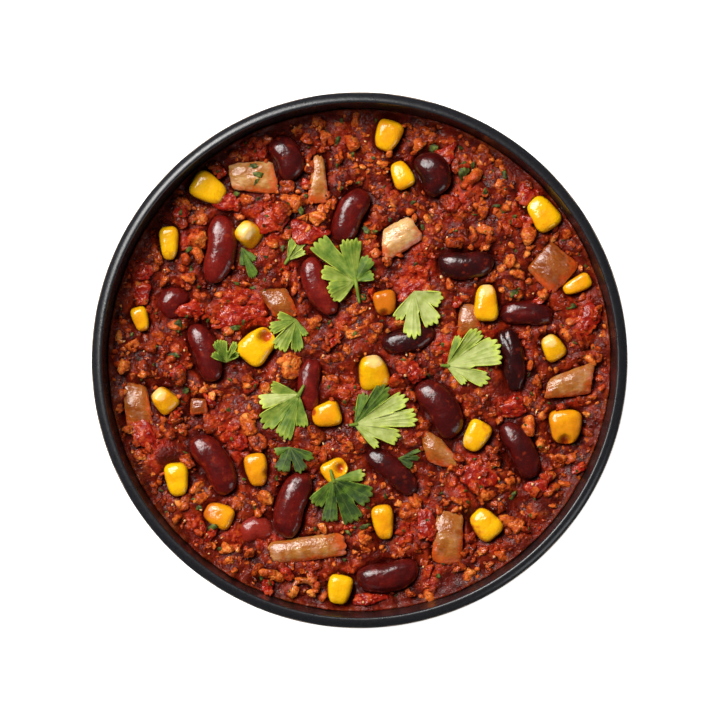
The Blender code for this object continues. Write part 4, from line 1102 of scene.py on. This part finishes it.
def tomatoes(raster, ceiling, chance):
    shapes = [rough_ball(4, 200.0 + 11.0 * index, 0.42) for index in range(8)]
    parts, triangles = [], []
    extra = zip(*jittered_sites(TOMATO_SPACING, chance))
    rows = list(TOMATO) + [(x, y, chance.uniform(0, 180), chance.uniform(2.6, 5.0), chance.uniform(2.0, 3.2))
                           for x, y in extra if chance.random() < TOMATO_SHARE]
    for index, (x, y, heading, length, width) in enumerate(rows):
        place = np.array([[x], [y]])
        if gap_to_toppings(*place)[0] < width * 0.25 or math.hypot(x, y) > STEW_RADIUS - length * 0.5:
            continue
        points, own = shapes[index % len(shapes)]
        height = min(surface_heights(*place)[0] + TOMATO_RISE, ceiling.at(x, y) - 1.5)
        shaped = points * (length * TOMATO_SIZE, width * TOMATO_SIZE, TOMATO_THICKNESS)
        parts.append(placed(shaped, x, y, height, heading))
        triangles.append(own)
        raster.take(parts[-1])
    return joined(parts, triangles)


def flakes(raster, ceiling, chance):
    """Thin bent flakes of herb on the surface, larger ones where the dish has them."""
    shapes = [rough_ball(3, 400.0 + 11.0 * index, 0.9) for index in range(10)]
    extra = zip(*open_sites(FLAKE_SPACING, FLAKE_SHARE, chance))
    rows = list(FLAKES) + [(x, y, chance.uniform(0, 180), chance.uniform(0.7, 1.9)) for x, y in extra]
    parts, triangles = [], []
    for index, (x, y, heading, length) in enumerate(rows):
        points, own = shapes[index % len(shapes)]
        shaped = points * (length / 2, length * chance.uniform(0.16, 0.3), FLAKE_THICKNESS)
        shaped[:, 2] += 0.25 * np.sin(shaped[:, 0] * 1.6)
        z = min(raster.at(x, y) + FLAKE_RISE, ceiling.at(x, y) - 0.4)
        parts.append(placed(shaped, x, y, z, heading, chance.uniform(-12, 12)))
        triangles.append(own)
    return joined(parts, triangles)


def specks(raster, ceiling, chance, spacing, sizes, seed):
    """Loose small grains that rest on the surface."""
    shapes = [rough_ball(2, seed + 5.0 * index) for index in range(4)]
    x, y = open_sites(spacing, SPECK_SHARE, chance)
    size = chance.uniform(*sizes, len(x))
    z = np.minimum(raster.at(x, y) + size * 0.05, ceiling.at(x, y) - size)
    return heap(shapes, np.column_stack([x, y, z]), size, chance, SPECK_FLATNESS)


def stew():
    """The core and all that is in it, from the large toppings down to the spice."""
    chance = np.random.default_rng(SEED)
    raster, ceiling = Raster(STEW_LEVEL - 4.0), Raster(99.0)
    core_points, core_faces = core(raster)
    beans(raster, bean_finish())
    corn(raster, corn_finish())
    onions(raster, onion_finish())
    green = leaf_finish()
    for name in LEAVES:
        leaf(name, raster, ceiling, green)
    ceiling.spread_low(2)
    red_points, red_faces = tomatoes(raster, ceiling, chance)
    heaps = mince(raster, ceiling, chance)
    herb = flakes(raster, ceiling, chance)
    soft = raster.blurred(4)

    def exposure(points):
        """How far each point stands above what is round it: 0 in a crevice, 1 on a peak. The finishes paint
        shade into the crevices from it.
        """
        return held(0.5 + (points[:, 2] - soft.at(points[:, 0], points[:, 1])) / RELIEF)

    x, y = core_points[:, :2].T
    pool = held(-gap_to_rounds(x, y, SAUCE_POOLS) / 1.5)
    pool = np.maximum(pool, WALL_POOL * held((np.hypot(x, y) - WALL_POOL_FROM) / 2.5))
    add_piece("sauce", core_points, core_faces, stew_finish("sauce", 0.5, 0.75, 0.12, 0.75, 0.25), "stew",
              "chili", pool=pool, height=exposure(core_points), tone=0.4, red=redness(core_points))
    brown = stew_finish("mince", 0.2, 0.45, 0.22, 0.6, 0.8)
    for name, (points, faces, tones) in heaps.items():
        add_piece(name, points, faces, brown, "stew", height=exposure(points), tone=tones,
                  red=redness(points), pool=0.0)
    add_piece("tomato_pieces", red_points, red_faces, tomato_finish(), "stew", height=exposure(red_points))
    herb_look = plain_finish("dried_herb", 1.2, (0.8, 0.35, 0.6), (0.3, (34, 36, 12)), (0.5, (62, 70, 22)),
                             (0.75, (116, 126, 48)), Specular_IOR_Level=0.2)
    add_piece("herb_flakes", *herb, herb_look, "leaf")
    seeds = specks(raster, ceiling, chance, 8.0, (0.5, 0.9), 600.0)
    seed_look = plain_finish("tomato_seed", 1.5, (0.8, 0.25, 0.45), (0.3, (196, 120, 60)),
                             (0.7, (240, 204, 140)), Coat_Weight=0.5, Coat_Roughness=0.15)
    add_piece("pale_seeds", *seeds, seed_look, "stew")
    pepper = specks(raster, ceiling, chance, 7.0, (0.35, 0.7), 700.0)
    pepper_look = plain_finish("black_pepper", 0.5, (0.5, 0.4, 0.7), (0.3, (14, 10, 9)), (0.7, (44, 32, 26)),
                               Specular_IOR_Level=0.4)
    add_piece("pepper_specks", *pepper, pepper_look, "stew")


# Floor, light and camera


def floor():
    mesh = bmesh.new()
    bmesh.ops.create_grid(mesh, x_segments=1, y_segments=1, size=4.0)
    data = bpy.data.meshes.new("floor")
    mesh.to_mesh(data)
    mesh.free()
    piece = bpy.data.objects.new("floor", data)
    look = Finish("pale_floor", Specular_IOR_Level=0.0, Emission_Color=colour(255, 255, 255),
                  Emission_Strength=FLOOR_GLOW)
    white = look.ramp(look.noise(400.0), (0.3, (250, 250, 250)), (0.7, (253, 253, 253)))
    data.materials.append(look.done(white, 0.9))
    bpy.context.scene.collection.objects.link(piece)
    piece.visible_glossy = False


def area_light(name, place, size, watts, shade):
    data = bpy.data.lights.new(name, "AREA")
    data.size = size
    data.energy = watts
    data.color = shade
    light = bpy.data.objects.new(name, data)
    light.location = place
    light.rotation_euler = (Vector((0.0, 0.0, 0.04)) - Vector(place)).to_track_quat("-Z", "Y").to_euler()
    bpy.context.scene.collection.objects.link(light)


def studio():
    scene = bpy.context.scene
    area_light("key", (-0.54, 0.58, 1.06), 0.9, 26.5, (1.0, 0.985, 0.96))
    area_light("glint", (-0.46, 0.52, 0.92), 0.22, 2.0, (1.0, 0.99, 0.97))
    area_light("fill", (0.85, -0.75, 0.40), 0.6, 2.4, (0.96, 0.98, 1.0))
    world = bpy.data.worlds.new("studio")
    world.use_nodes = True
    background = world.node_tree.nodes["Background"]
    background.inputs["Color"].default_value = (0.95, 0.97, 1.0, 1.0)
    background.inputs["Strength"].default_value = WORLD_STRENGTH
    scene.world = world
    scene.view_settings.view_transform = "Standard"
    data = bpy.data.cameras.new("camera")
    data.sensor_width = SENSOR
    data.lens = SENSOR * RIM_PIXELS * CAMERA_DISTANCE / (RIM_RADIUS * MM * PICTURE_PIXELS)
    camera = bpy.data.objects.new("camera", data)
    camera.location = (*(share * MM for share in CAMERA_OFFSET), BOWL_HEIGHT * MM + CAMERA_DISTANCE)
    scene.collection.objects.link(camera)
    scene.camera = camera


bowl()
stew()
floor()
studio()
